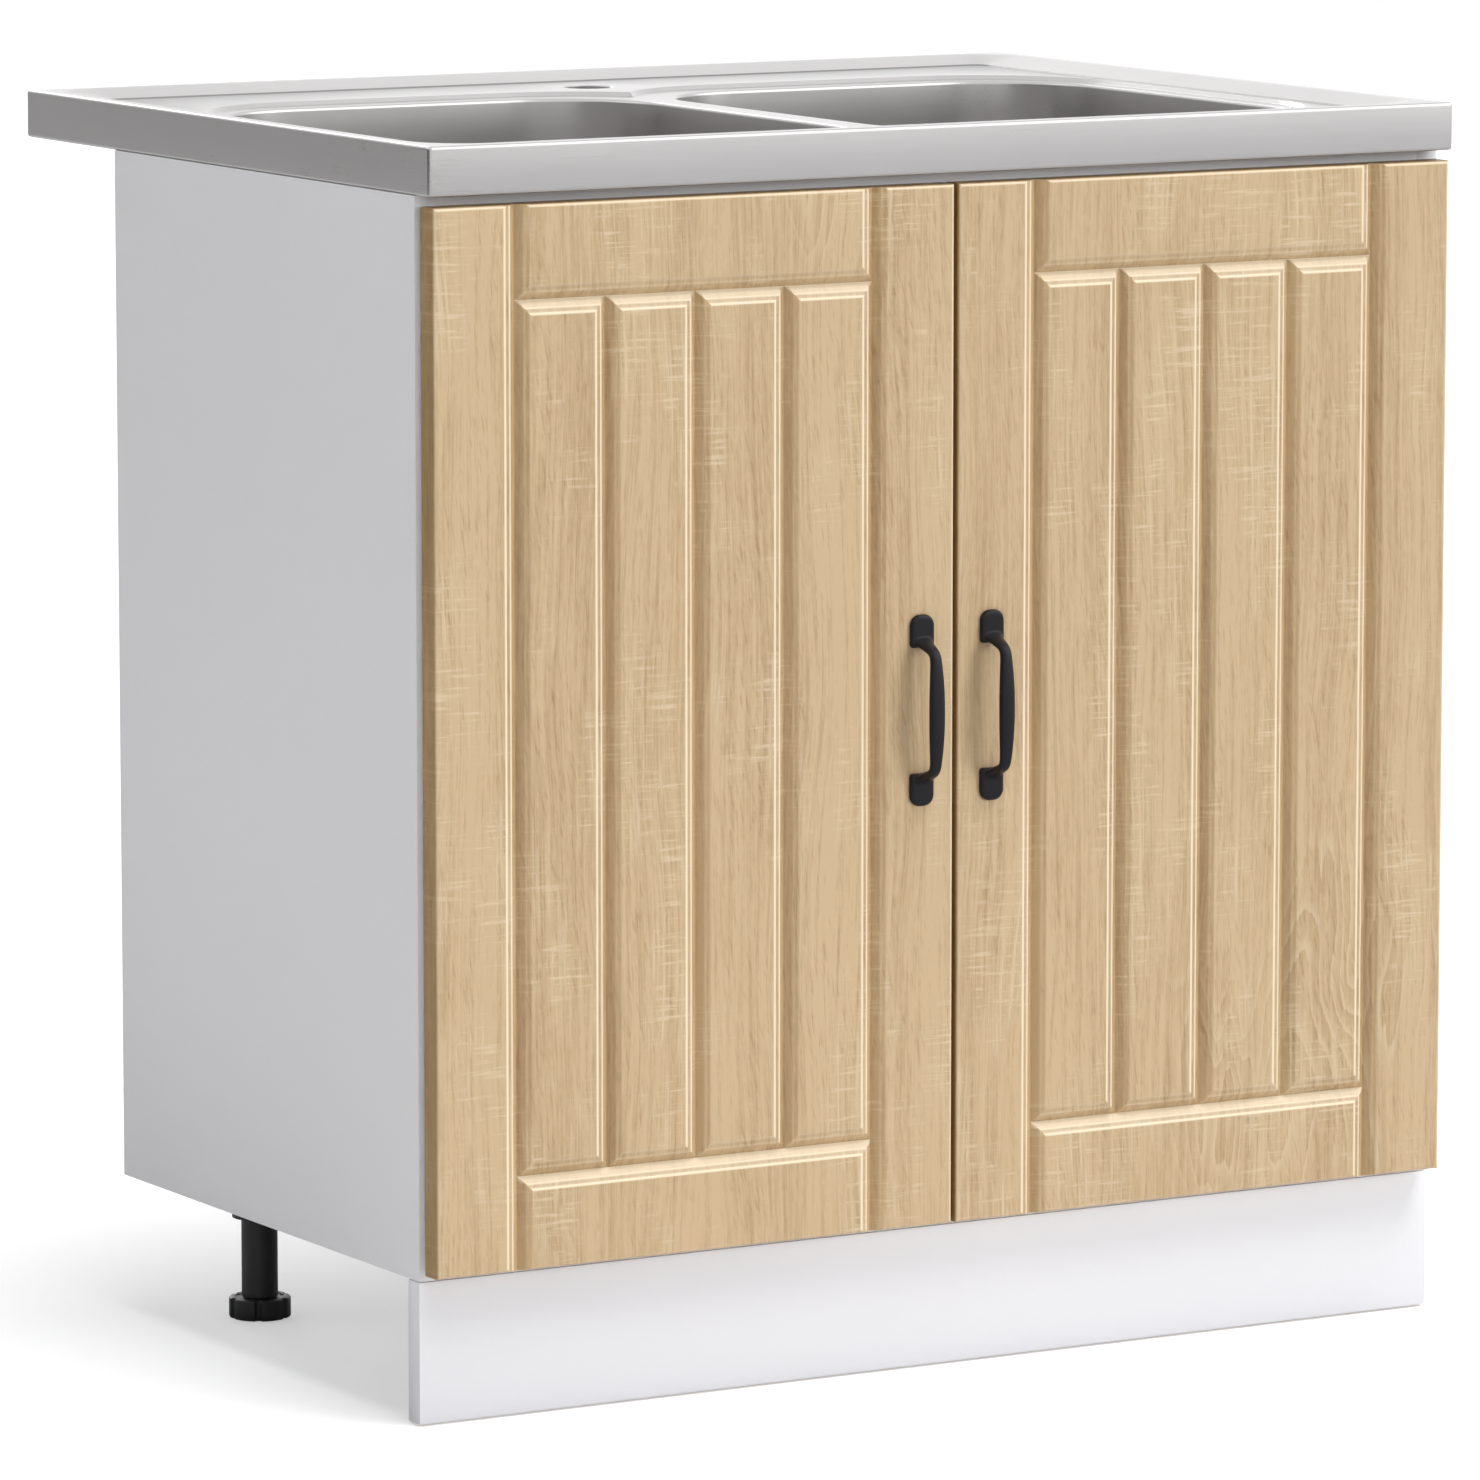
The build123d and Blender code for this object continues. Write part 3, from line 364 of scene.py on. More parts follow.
def brushed_steel(graph, given):
    """Steel brushed along X on level and front faces, and along Y on the sides, with painted
    shade along its creases."""
    noise, place = graph.noise, graph.coordinates()
    across = noise(place, (9.0, 1500.0, 1500.0), 3.0, 0.7)
    along = noise(place, (1500.0, 9.0, 1500.0), 3.0, 0.7)
    facing = graph.wire("ShaderNodeSeparateXYZ", {0: graph.coordinates("Normal")})
    sideways = facing.math("ABSOLUTE").spread(0.6, 0.8)
    lines = graph.wire("ShaderNodeMix", {0: sideways, 2: across, 3: along})
    smears = noise(place, (6.0, 14.0, 14.0), 4.0, 0.6)
    # Painted shade: the crease attribute darkens the steel at the foot of the rim's slope and
    # down the skirt's front corners.
    level = (lines - 0.5) * 0.10 + 1.0 + graph.attribute("crease") * -0.42
    gloss = (lines - 0.5) * 0.10 + given["Roughness"] + (smears - 0.5) * 0.10
    return graph.shaded(given["Color"], level), gloss, lines * given["Strength"]


GREY = (0.8, 0.8, 0.8, 1.0)
GROUPS = {
    "oak_film": (oak_film, {"Light": GREY, "Dark": GREY, "Cream": GREY, "Shift": 0.0}),
    "fine_grain": (fine_grain, {"Color": GREY, "Scale": 900.0, "Mottle": 0.04, "Roughness": 0.4,
                                "Spread": 0.1}),
    "brushed_steel": (brushed_steel, {"Color": GREY, "Roughness": 0.3, "Strength": 1.0}),
}


def rgba(values):
    return (*values, 1.0)


def recipes():
    """Each finish: its group, the group's values, bump strength and reach, surface inputs."""
    carcass, doors, handles, sink = map(settings, ("carcass", "doors", "handles", "sink"))

    def grain(tone, scale, mottle, roughness, width, bump, reach, **surface):
        return ("fine_grain", {"Color": rgba(tone), "Scale": scale, "Mottle": mottle,
                               "Roughness": roughness, "Spread": width}, bump, reach, surface)

    def steel(tone, roughness, lines):
        return ("brushed_steel", {"Color": rgba(tone), "Roughness": roughness,
                                  "Strength": lines}, 0.14, 0.00003, {"Metallic": 1.0})

    def oak(shift):
        return ("oak_film", {"Light": rgba(doors.oak_light), "Dark": rgba(doors.oak_dark),
                             "Cream": rgba(doors.oak_cream), "Shift": shift}, 0.30, 0.00012, {})

    zinc, plastic = carcass.zinc_colour, carcass.plastic_colour
    return {
        "carcass_board": grain(carcass.board_colour, 700.0, 0.02, 0.42, 0.10, 0.08, 0.0001),
        "plinth_film": grain(carcass.plinth_colour, 500.0, 0.015, 0.30, 0.10, 0.05, 0.0001),
        "chipboard": grain(carcass.chipboard_colour, 420.0, 1.1, 0.85, 0.1, 0.6, 0.0006),
        "door_left": oak(0.0),
        "door_right": oak(1.37),
        "door_back": grain(doors.back_colour, 800.0, 0.02, 0.45, 0.1, 0.08, 0.0001),
        "handle_finish": grain(handles.finish_colour, 2200.0, 0.25, 0.36, 0.12, 0.15, 0.00006,
                               **{"Specular IOR Level": 0.24}),
        "sink_steel": steel(sink.steel_colour, sink.steel_roughness, 1.0),
        "strainer_steel": steel((0.66, 0.655, 0.65), 0.20, 0.4),
        "hinge_steel": steel(zinc, 0.30, 0.5),
        "screw_steel": steel((0.62, 0.61, 0.60), 0.32, 0.4),
        "cam_alloy": grain(zinc, 1500.0, 0.2, 0.42, 0.15, 0.25, 0.0001, Metallic=1.0),
        "bracket_steel": steel(zinc, 0.36, 0.7),
        "leg_plastic": grain(plastic, 1200.0, 0.3, 0.45, 0.15, 0.25, 0.0001),
        "foot_plastic": grain(plastic, 900.0, 0.3, 0.50, 0.15, 0.30, 0.0001),
        "nut_plastic": grain((0.02, 0.02, 0.022), 900.0, 0.3, 0.48, 0.15, 0.25, 0.0001),
        "gasket_rubber": grain((0.015, 0.015, 0.015), 700.0, 0.3, 0.75, 0.1, 0.30, 0.0001),
        "bumper_rubber": grain((0.70, 0.70, 0.68), 700.0, 0.05, 0.30, 0.1, 0.10, 0.0001),
        "dowel_wood": grain((0.60, 0.42, 0.24), 600.0, 0.4, 0.70, 0.1, 0.30, 0.0002),
    }


def new_material(name):
    """An empty node material: (material, graph)."""
    material = bpy.data.materials.new(name)
    material.use_nodes = True
    material.node_tree.nodes.clear()
    return material, Graph(material.node_tree)


def finish(name):
    """A finish's material, made when it is first asked for."""
    for material in bpy.data.materials:
        if material.get("finish") == name:
            return material
    kind, values, bump, reach, surface = recipes()[name]
    build, inputs = GROUPS[kind]
    material, graph = new_material(name)
    material["finish"] = name
    pattern = graph.node("ShaderNodeGroup", node_tree=bpy.data.node_groups.get(kind)
                         or surface_group(kind, inputs, build))
    for key, value in values.items():
        pattern.inputs[key].default_value = value
    tone, gloss, height = (Wire(graph, socket) for socket in pattern.outputs)
    relief = graph.wire("ShaderNodeBump", {"Strength": bump, "Distance": reach, "Height": height})
    shader = graph.wire("ShaderNodeBsdfPrincipled",
                        {"Base Color": tone, "Roughness": gloss, "Normal": relief, **surface})
    graph.node("ShaderNodeOutputMaterial", {"Surface": shader})
    material.diffuse_color = pattern.inputs[0].default_value
    return material


# ---- Mesh building ---------------------------------------------------------------------------
def link_object(name, mesh):
    made = bpy.data.objects.new(name, mesh)
    bpy.context.scene.collection.objects.link(made)
    return made


def raw_object(name, bm):
    """An object for modifiers to work on, its faces outward."""
    bmesh.ops.recalc_face_normals(bm, faces=bm.faces)
    mesh = bpy.data.meshes.new(name)
    bm.to_mesh(mesh)
    bm.free()
    return link_object(name, mesh)


def smoothed(made, crease):
    """The object shaded smooth, its creases kept sharp."""
    made.data.shade_smooth()
    made.data.set_sharp_from_angle(angle=math.radians(crease))
    return made


def to_object(name, bm, materials, crease=38.0, outward=True):
    """A finished mesh: doubles merged, faces outward, creases kept sharp."""
    bmesh.ops.remove_doubles(bm, verts=bm.verts, dist=2e-6)
    bmesh.ops.dissolve_degenerate(bm, edges=bm.edges, dist=1e-7)
    if outward:
        bmesh.ops.recalc_face_normals(bm, faces=bm.faces)
    mesh = bpy.data.meshes.new(name)
    bm.to_mesh(mesh)
    bm.free()
    for material in materials:
        mesh.materials.append(material)
    return smoothed(link_object(name, mesh), crease)


def evaluated(made):
    """The object's mesh with its modifiers applied."""
    bpy.context.view_layer.update()
    depsgraph = bpy.context.evaluated_depsgraph_get()
    return bpy.data.meshes.new_from_object(made.evaluated_get(depsgraph), depsgraph=depsgraph)


def shaped_bmesh(made):
    """The object's mesh with its modifiers applied, as a bmesh; the object is deleted."""
    mesh = evaluated(made)
    bpy.data.objects.remove(made)
    bm = bmesh.new()
    bm.from_mesh(mesh)
    bpy.data.meshes.remove(mesh)
    return bm


def set_in_place(piece, body, slot, *nodes):
    """The piece rides on a body and the CAD nodes it stands for are hidden. The slot is not used.
    """
    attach(piece, body)
    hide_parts(*nodes)


def recoat(node, name):
    """A carried-over CAD node gets a finish of its own."""
    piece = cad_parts[node]
    if not piece.material_slots:
        piece.data.materials.append(None)
    for slot in piece.material_slots:
        slot.material = finish(name)


def box(bm, middle, size):
    """A plain box."""
    return bmesh.ops.create_cube(bm, size=1.0, matrix=Matrix.Translation(middle)
                                 @ Matrix.Diagonal((*size, 1)))["verts"]


def loop_faces(bm, first, second):
    """Quads between two closed rows of vertices."""
    for number in range(len(first)):
        following = (number + 1) % len(first)
        corners = [first[number], first[following], second[following], second[number]]
        corners = [v for place, v in enumerate(corners) if v not in corners[:place]]
        if len(corners) > 2:
            bm.faces.new(corners)


def skin(bm, rows):
    """Quads between each row of vertices and the next."""
    for before, after in zip(rows, rows[1:]):
        loop_faces(bm, before, after)


def lathe(bm, profile, steps, centre=(0, 0, 0), wave=None):
    """A profile of (radius, height) turned about an upright axis; its ends at radius 0 are
    closed, and a wave changes the radius round the turn."""
    rows = []
    for radius, height in profile:
        row = []
        for step in range(steps if radius > 1e-7 else 1):
            turn = 2 * math.pi * step / steps
            reach = radius * (wave(turn, radius) if wave else 1.0)
            point = Vector((reach * math.cos(turn), reach * math.sin(turn), height))
            row.append(bm.verts.new(Vector(centre) + point))
        rows.append(row)
    for before, after in zip(rows, rows[1:]):
        if len(before) == len(after):
            loop_faces(bm, before, after)
            continue
        tip, row = (before[0], after) if len(before) == 1 else (after[0], before)
        for number in range(steps):
            bm.faces.new((tip, row[number], row[(number + 1) % steps]))


def softened(points, radius, steps):
    """A run of 2-D points with its inner corners rounded."""
    result = [tuple(points[0])]
    for before, here, after in zip(points, points[1:], points[2:]):
        here = Vector(here)
        back, onward = Vector(before) - here, Vector(after) - here
        bend = back.angle(onward)
        if bend > math.radians(176):
            result.append(tuple(here))
            continue
        reach = min(radius / math.tan(bend / 2), back.length * 0.45, onward.length * 0.45)
        start = here + back.normalized() * reach
        end = here + onward.normalized() * reach
        for step in range(steps + 1):
            share = step / steps
            result.append(tuple(start.lerp(here, share).lerp(here.lerp(end, share), share)))
    return result + [tuple(points[-1])]


def arc(x, y, radius, start, sweep, steps):
    """Points on an arc, its angles in degrees."""
    turns = [math.radians(start + sweep * k / steps) for k in range(steps + 1)]
    return [(x + radius * math.cos(turn), y + radius * math.sin(turn)) for turn in turns]


def circle(x, y, radius, steps=48):
    return arc(x, y, radius, 0, 360, steps)[:-1]


def joined(arcs, run, closed=True):
    """Arcs joined by straight runs of points."""
    points = []
    for number, bend in enumerate(arcs):
        points += bend
        if closed or number < len(arcs) - 1:
            (x, y), (goal_x, goal_y) = bend[-1], arcs[(number + 1) % len(arcs)][0]
            points += [(x + (goal_x - x) * k / run, y + (goal_y - y) * k / run)
                       for k in range(1, run)]
    return points


def rounded_loop(x0, x1, y0, y1, radius, bends=10, run=8):
    """Points round a rectangle with round corners, from its front left corner."""
    corners = ((x0 + radius, y0 + radius, 180), (x1 - radius, y0 + radius, 270),
               (x1 - radius, y1 - radius, 0), (x0 + radius, y1 - radius, 90))
    return joined([arc(x, y, radius, start, 90, bends) for x, y, start in corners], run)


def verts_at(bm, points, z):
    return [bm.verts.new((x, y, z)) for x, y in points]


def fill_between(bm, loops):
    """Flat faces between an outer loop of vertices and the holes in it."""
    edges = []
    for loop in loops:
        for pair in zip(loop, loop[1:] + loop[:1]):
            edges.append(bm.edges.get(pair) or bm.edges.new(pair))
    bmesh.ops.triangle_fill(bm, edges=edges, use_beauty=True, use_dissolve=False)


# ---- Geometry Nodes for what repeats ---------------------------------------------------------
def geometry_tree(name, build, **inputs):
    """A Geometry Nodes tree whose result gets the Finish."""
    found = bpy.data.node_groups.get(name)
    if found:
        return found
    inputs = {label.replace("_", " "): kind for label, kind in inputs.items()}
    graph, given, out = group_tree(name, "GeometryNodeTree", {**inputs, "Finish": "Material"},
                                   {"Result": "Geometry"})
    real = graph.wire("GeometryNodeRealizeInstances", {"Geometry": build(graph, given)})
    coated = graph.wire("GeometryNodeSetMaterial", {"Geometry": real,
                                                    "Material": given["Finish"]})
    graph.plug(coated, out.inputs[0])
    return graph.tree


def scattered(graph, given):
    """Copies of one object on the points of the mesh, each turned to its point's direction and
    spun about it by chance."""
    facing = graph.wire("GeometryNodeInputNamedAttribute", {"Name": "facing"}, "Attribute",
                        data_type="FLOAT_VECTOR")
    aimed = graph.wire("FunctionNodeAlignRotationToVector", {"Vector": facing}, axis="Z")
    chance = graph.wire("FunctionNodeRandomValue", {"Seed": 7, 2: 0.0, 3: 6.283}, 1,
                        data_type="FLOAT")
    spun = graph.wire("FunctionNodeRotateRotation",
                      {"Rotation": aimed, "Rotate By": graph.vector(z=chance)},
                      rotation_space="LOCAL")
    model = graph.wire("GeometryNodeObjectInfo", {"Object": given["Piece"], "As Instance": True},
                       "Geometry")
    return graph.wire("GeometryNodeInstanceOnPoints",
                      {"Points": given["Points"], "Instance": model, "Rotation": spun})


def perforated(graph, given):
    """Round holes cut through a mesh: two rings in its floor and one in its wall."""
    punch = graph.wire("GeometryNodeMeshCylinder",
                       {"Vertices": 16, "Radius": given["Hole radius"], "Depth": 0.006})
    punches = graph.node("GeometryNodeJoinGeometry")
    for label, share, lifted in (("Floor ring", 1.0, 0.0), ("Inner ring", 0.5, 0.0),
                                 ("Wall ring", 1.0, 1.0)):
        ring = graph.wire("GeometryNodeMeshCircle", {"Vertices": given["Count"] * share,
                                                     "Radius": given[label]})
        rise = graph.vector(z=given["Wall height"] * lifted)
        inputs = {"Points": ring, "Instance": punch}
        if lifted:
            outward = graph.wire("GeometryNodeInputPosition")
            inputs["Rotation"] = graph.wire("FunctionNodeAlignRotationToVector",
                                            {"Vector": outward}, axis="Z")
        copies = graph.wire("GeometryNodeInstanceOnPoints", inputs)
        moved = graph.wire("GeometryNodeTransform",
                           {"Geometry": copies, "Translation": graph.moved(given["Centre"],
                                                                           rise)})
        graph.plug(moved, punches.inputs[0])
    solid = graph.wire("GeometryNodeRealizeInstances",
                       {"Geometry": Wire(graph, punches.outputs[0])})
    return graph.wire("GeometryNodeMeshBoolean", {0: given["Body"], 1: solid},
                      operation="DIFFERENCE", solver="EXACT")


def run_nodes(name, base, tree, inputs, slot, crease=38.0):
    """The tree's result on the base object as a plain mesh object; the base is deleted."""
    modifier = base.modifiers.new("build", "NODES")
    modifier.node_group = tree
    sockets = {item.name: item.identifier for item in tree.interface.items_tree
               if item.item_type == "SOCKET" and item.in_out == "INPUT"}
    for key, value in {**inputs, "Finish": finish(slot)}.items():
        modifier[sockets[key]] = value
    return to_object(name, shaped_bmesh(base), [finish(slot)], crease)


def repeat(name, model, places, slot):
    """Copies of a model object at places given as (point, direction)."""
    mesh = bpy.data.meshes.new(name + "_points")
    mesh.from_pydata([tuple(point) for point, _ in places], [], [])
    facing = mesh.attributes.new("facing", "FLOAT_VECTOR", "POINT")
    for number, (_, direction) in enumerate(places):
        facing.data[number].vector = direction
    tree = geometry_tree("repeat_on_points", scattered, Points="Geometry", Piece="Object")
    made = run_nodes(name, link_object(name + "_points", mesh), tree, {"Piece": model}, slot)
    bpy.data.objects.remove(model)
    return made


def cross_cut(body, level, arm, width, height):
    """A cross recess cut into the top of a model."""
    bm = bmesh.new()
    for along, across in ((arm, width), (width, arm)):
        box(bm, (0, 0, level), (2 * along, 2 * across, height))
    cutter = raw_object("cross", bm)
    cut = body.modifiers.new("cross", "BOOLEAN")
    cut.object, cut.operation, cut.solver, cut.use_self = cutter, "DIFFERENCE", "EXACT", True
    mesh = evaluated(body)
    body.modifiers.remove(cut)
    body.data = mesh
    bpy.data.objects.remove(cutter)
    return body


def islands(node):
    """The boxes of a CAD node's separate solids: (low, high) each."""
    bm = bmesh.new()
    bm.from_mesh(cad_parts[node].data)
    bmesh.ops.remove_doubles(bm, verts=bm.verts, dist=1e-6)
    seen, boxes = set(), []
    for start in bm.verts:
        if start in seen:
            continue
        stack, members = [start], []
        seen.add(start)
        while stack:
            vertex = stack.pop()
            members.append(vertex.co.copy())
            for other in (edge.other_vert(vertex) for edge in vertex.link_edges):
                if other not in seen:
                    seen.add(other)
                    stack.append(other)
        boxes.append((Vector(map(min, zip(*members))), Vector(map(max, zip(*members)))))
    bm.free()
    return boxes


# ---- Boards ----------------------------------------------------------------------------------
def board_piece(node, body, slot, raw_side):
    """A board with softened edges; the side that isn't banded shows chipboard."""
    bm = bmesh.new()
    corners = box(bm, (low(node) + high(node)) / 2, high(node) - low(node))
    bmesh.ops.bevel(bm, geom=list({edge for v in corners for edge in v.link_edges}),
                    offset=settings("carcass").board_edge, offset_type="OFFSET", segments=2,
                    profile=0.5, affect="EDGES")
    made = to_object(node.replace("_panel", "_board"), bm, [finish(slot), finish("chipboard")],
                     60.0)
    for face in made.data.polygons:
        if face.normal.dot(Vector(raw_side)) > 0.99:
            face.material_index = 1
    set_in_place(made, body, slot, node)


class SINKCAB_OT_carcass(bpy.types.Operator):
    """Side boards, bottom board and rails of the carcass."""
    bl_idname = "sinkcab.carcass"
    bl_label = "Carcass boards"

    def execute(self, context):
        for node, raw_side in (("left_side_panel", (0, 1, 0)), ("right_side_panel", (0, 1, 0)),
                               ("bottom_panel", (0, 1, 0)), ("front_rail", (0, 0, -1)),
                               ("rear_upper_rail", (0, 0, 1)), ("rear_lower_rail", (0, 0, 1))):
            board_piece(node, "carcass", "carcass_board", raw_side)
        return {"FINISHED"}


# ---- Cams and screws -------------------------------------------------------------------------
def cam_model():
    """A cast cam seen on its open face, with a cross recess."""
    radius = 0.0074
    bm = bmesh.new()
    lathe(bm, [(0.0, -0.010), (radius, -0.010), (radius, 0.00005), (radius - 0.0003, 0.0003),
               (0.0050, 0.0003), (0.0046, 0.0001), (0.0, 0.0001)], 28)
    return cross_cut(raw_object("cam_model", bm), 0.001, 0.0032, 0.0010, 0.0044)


def cam_places():
    """Each cam's open face: the middle of the face that lies on its board's surface."""
    ways = {"bottom_panel": (0, 0, -1), "front_rail": (0, 1, 0), "rear_upper_rail": (0, -1, 0),
            "rear_lower_rail": (0, -1, 0)}
    places = []
    for first, last in islands("cam_locks"):
        middle = (first + last) / 2
        for node, way in ways.items():
            if all(low(node)[k] - 1e-4 < middle[k] < high(node)[k] + 1e-4 for k in range(3)):
                axis = [abs(step) for step in way].index(1)
                point = middle.copy()
                point[axis] = (high(node) if way[axis] > 0 else low(node))[axis]
                places.append((point, way))
    if len(places) != 10:
        raise RuntimeError(f"{len(places)} cams were found where there are ten")
    return places


SHANK_RADIUS, THREAD_PITCH = 0.002, 0.0016
# A head's outline from the shank to the crown, as (share of the radius, share of the height).
SUNK_HEAD = ((1.0, 0.15), (1.0, 0.4), (0.75, 0.85), (0.4, 1.0), (0.0, 1.0))
PAN_HEAD = ((1.0, 0.0), (1.0, 0.55), (0.85, 0.85), (0.55, 1.0), (0.0, 1.0))


def screw_model(radius, height, below, head):
    """A screw: head towards +Z with a cross recess, shank towards -Z with thread rings."""
    profile = [(0.0, -below), (SHANK_RADIUS * 0.5, SHANK_RADIUS - below)]
    z = SHANK_RADIUS * 1.5 - below
    while z < -0.003:
        profile += [(SHANK_RADIUS * 0.78, z), (SHANK_RADIUS, z + THREAD_PITCH * 0.5)]
        z += THREAD_PITCH
    profile += [(SHANK_RADIUS * 0.8, -0.002), (SHANK_RADIUS * 0.8, 0.0)]
    profile += [(radius * out, height * up) for out, up in head]
    bm = bmesh.new()
    lathe(bm, profile, 18)
    return cross_cut(raw_object("screw_model", bm), height, radius * 0.55, 0.00045, height * 1.2)


def screws_piece(node, body, way, radius, height, head=SUNK_HEAD):
    """Like screws built by copying one model to each place. Screws whose way is along X face
    the middle of the cabinet."""
    places, wholes = [], []
    for first, last in islands(node):
        middle, facing = (first + last) / 2, Vector(way)
        if way == (1, 0, 0) and middle.x > 0:
            facing = -facing
        wholes.append(abs((last - first).dot(facing)))
        places.append((middle + facing * (wholes[-1] / 2 - height), facing))
    model = screw_model(radius, height, wholes[0] - height, head)
    made = repeat(node + "_set", model, places, "screw_steel")
    set_in_place(made, body, "screw_steel", node)


class SINKCAB_OT_fittings(bpy.types.Operator):
    """Cams, dowels, bolts, brackets and all screws."""
    bl_idname = "sinkcab.fittings"
    bl_label = "Board fittings and screws"

    def execute(self, context):
        cams = repeat("cam_set", cam_model(), cam_places(), "cam_alloy")
        set_in_place(cams, "carcass", "cam_alloy", "cam_locks")
        recoat("cam_bolts", "screw_steel")
        recoat("dowels", "dowel_wood")
        recoat("sink_brackets", "bracket_steel")
        for node, way in (("leg_screws", (0, 0, -1)), ("hinge_plate_screws", (1, 0, 0)),
                          ("bracket_screws", (1, 0, 0))):
            screws_piece(node, "carcass", way, 0.0038, 0.0018)
        for name in SIDES:
            door = f"{name}_door"
            screws_piece(f"{name}_handle_screws", door, (0, 1, 0), 0.0040, 0.0022, PAN_HEAD)
            screws_piece(f"{name}_cup_screws", door, (0, 1, 0), 0.0038, 0.0012)
        return {"FINISHED"}


# ---- Legs, feet, plinth and hinges -----------------------------------------------------------
FOOT_STEM = 0.008
NOTCHES, NOTCH_RADIUS = 6, 0.0024


def foot_piece(node):
    """A disc with notches round its edge, on a ribbed stem."""
    radius = (high(node).x - low(node).x) / 2
    top = high(node).z

    def scallop(turn, reach):
        if reach < radius * 0.8:
            return 1.0
        swing = turn * NOTCHES / (2 * math.pi) % 1.0
        near = min(swing, 1 - swing) * 2 * math.pi / NOTCHES * radius
        return 1.0 - max(0.0, NOTCH_RADIUS ** 2 - near ** 2) ** 0.5 / radius

    # The disc as (distance in from its edge, height), then the stem's foot.
    profile = [(0.0, 0.0004)] + [(radius - inset, z) for inset, z in (
        (0.0045, 0.0004), (0.0040, 0.0), (0.0012, 0.0), (0.0003, 0.0005), (0.0, 0.0014),
        (0.0, 0.0131), (0.0003, 0.0139), (0.0012, 0.01445), (0.0040, 0.0145),
        (0.0048, 0.0138))]
    profile += [(FOOT_STEM + 0.0045, 0.0138), (FOOT_STEM + 0.0035, 0.0145), (FOOT_STEM, 0.0145)]
    z = 0.0150
    while z < top - 0.003:
        profile += [(FOOT_STEM - 0.0006, z), (FOOT_STEM, z + 0.0007)]
        z += 0.0014
    profile += [(FOOT_STEM, top - 0.0006), (FOOT_STEM - 0.0008, top), (0.0, top)]
    bm = bmesh.new()
    lathe(bm, profile, 144, upright_axis(node), scallop)
    made = to_object(node + "_disc", bm, [finish("foot_plastic")], 32.0)
    set_in_place(made, node, "foot_plastic", node)


class SINKCAB_OT_legs(bpy.types.Operator):
    """Leg sockets, tubes and notched levelling feet."""
    bl_idname = "sinkcab.legs"
    bl_label = "Legs and feet"

    def execute(self, context):
        recoat("leg_sockets", "leg_plastic")
        recoat("leg_tubes", "leg_plastic")
        for row in ("front", "rear"):
            for name in SIDES:
                foot_piece(f"{row}_{name}_foot")
        return {"FINISHED"}


class SINKCAB_OT_plinth(bpy.types.Operator):
    """Plinth board and the clips that hold it to the front legs."""
    bl_idname = "sinkcab.plinth"
    bl_label = "Plinth"

    def execute(self, context):
        board_piece("plinth_board", "plinth", "plinth_film", (0, 0, -1))
        recoat("plinth_clips", "leg_plastic")
        return {"FINISHED"}


class SINKCAB_OT_hinges(bpy.types.Operator):
    """Concealed hinges: plates, arms, links, cups and pins, and the door bumpers."""
    bl_idname = "sinkcab.hinges"
    bl_label = "Hinges"

    def execute(self, context):
        recoat("hinge_arm_pins", "hinge_steel")
        for name in SIDES:
            for part in ("hinge_plates", "hinge_arms", "hinge_links", "hinge_cups", "cup_pins"):
                recoat(f"{name}_{part}", "hinge_steel")
            recoat(f"{name}_door_bumpers", "bumper_rubber")
        return {"FINISHED"}


# ---- Doors -----------------------------------------------------------------------------------
LOOP_GAP = 0.0006           # between the last bend of a groove or arris and the flat beyond it
FULL_SHADE_DEPTH = 0.0007   # from this depth on, the far shelf has its full painted shade
# Painted light in the grooves: upright grooves keep little painted highlight and get painted
# shade on their far side, away from the light; cross grooves turn most of their lower wall's
# painted shade into painted highlight.
UPRIGHT_PAINTED_LIGHT = {"far_highlight": 0.10, "far_shade": 0.46}
CROSS_PAINTED_LIGHT = {"far_highlight": 0.15, "wall_highlight": 0.75}
BACK_EASE = 0.0005
CUP_RADIUS, CUP_DEPTH, CUP_INSET = 0.01755, 0.01232, 0.0215


def groove_section():
    """Half a groove from its middle out, as (distance, depth, painted shade, painted highlight)
    at each bend.
    """
    doors = settings("doors")
    half, notch = doors.groove_width / 2, doors.notch_width / 2
    deep, shelf = doors.groove_depth, doors.shelf_depth
    steep = (deep - shelf) / notch
    return [(0.0, deep, 0.6, 0.0), (0.0003, deep - 0.00007, 0.6, 0.0),
            (0.0008, deep - 0.0007 * steep, 0.35, 0.0),
            (notch - 0.0010, shelf + 0.0010 * steep, 0.25, 0.0),
            (notch - 0.0004, shelf + 0.00042, 0.15, 0.7), (notch, shelf + 0.00016, 0.0, 1.0),
            (notch + 0.0006, shelf + 0.00004, 0.0, 0.7), (notch + 0.0011, shelf, 0.15, 0.0),
            (half - 0.0016, shelf, 0.15, 0.0), (half - 0.0012, shelf * 0.90, 0.1, 0.3),
            (half - 0.0006, shelf * 0.55, 0.0, 1.0), (half - 0.0001, shelf * 0.22, 0.0, 1.0),
            (half + 0.0005, shelf * 0.06, 0.0, 0.9), (half + 0.0012, 0.0, 0.0, 0.0)]


def groove_at(section, across, far_highlight, wall_highlight=0.0, far_shade=0.0):
    """Depth, painted shade and painted highlight at a distance from a groove's middle. The
    painted highlight is full on the near side, where across is below zero, and a given share of
    that beyond the middle, where the shelf gets painted shade of at least far_shade."""
    reach = abs(across)
    for before, after in zip(section, section[1:]):
        if reach <= after[0] + 1e-9:
            share = (reach - before[0]) / (after[0] - before[0])
            deep, down, highlight = (before[k] + (after[k] - before[k]) * share for k in (1, 2, 3))
            if across < 0:
                return deep, down * (1 - wall_highlight), max(highlight, min(1.0, down * 3) * wall_highlight)
            shade = far_shade * min(1.0, deep / FULL_SHADE_DEPTH)
            return deep, max(down, shade), highlight * far_highlight
    return 0.0, 0.0, 0.0


def arris_depth(reach, radius):
    """Depth of the rounded front edge at a distance in from the door's edge."""
    if reach >= radius:
        return 0.0
    return radius - math.sqrt(max(0.0, radius ** 2 - (radius - reach) ** 2))


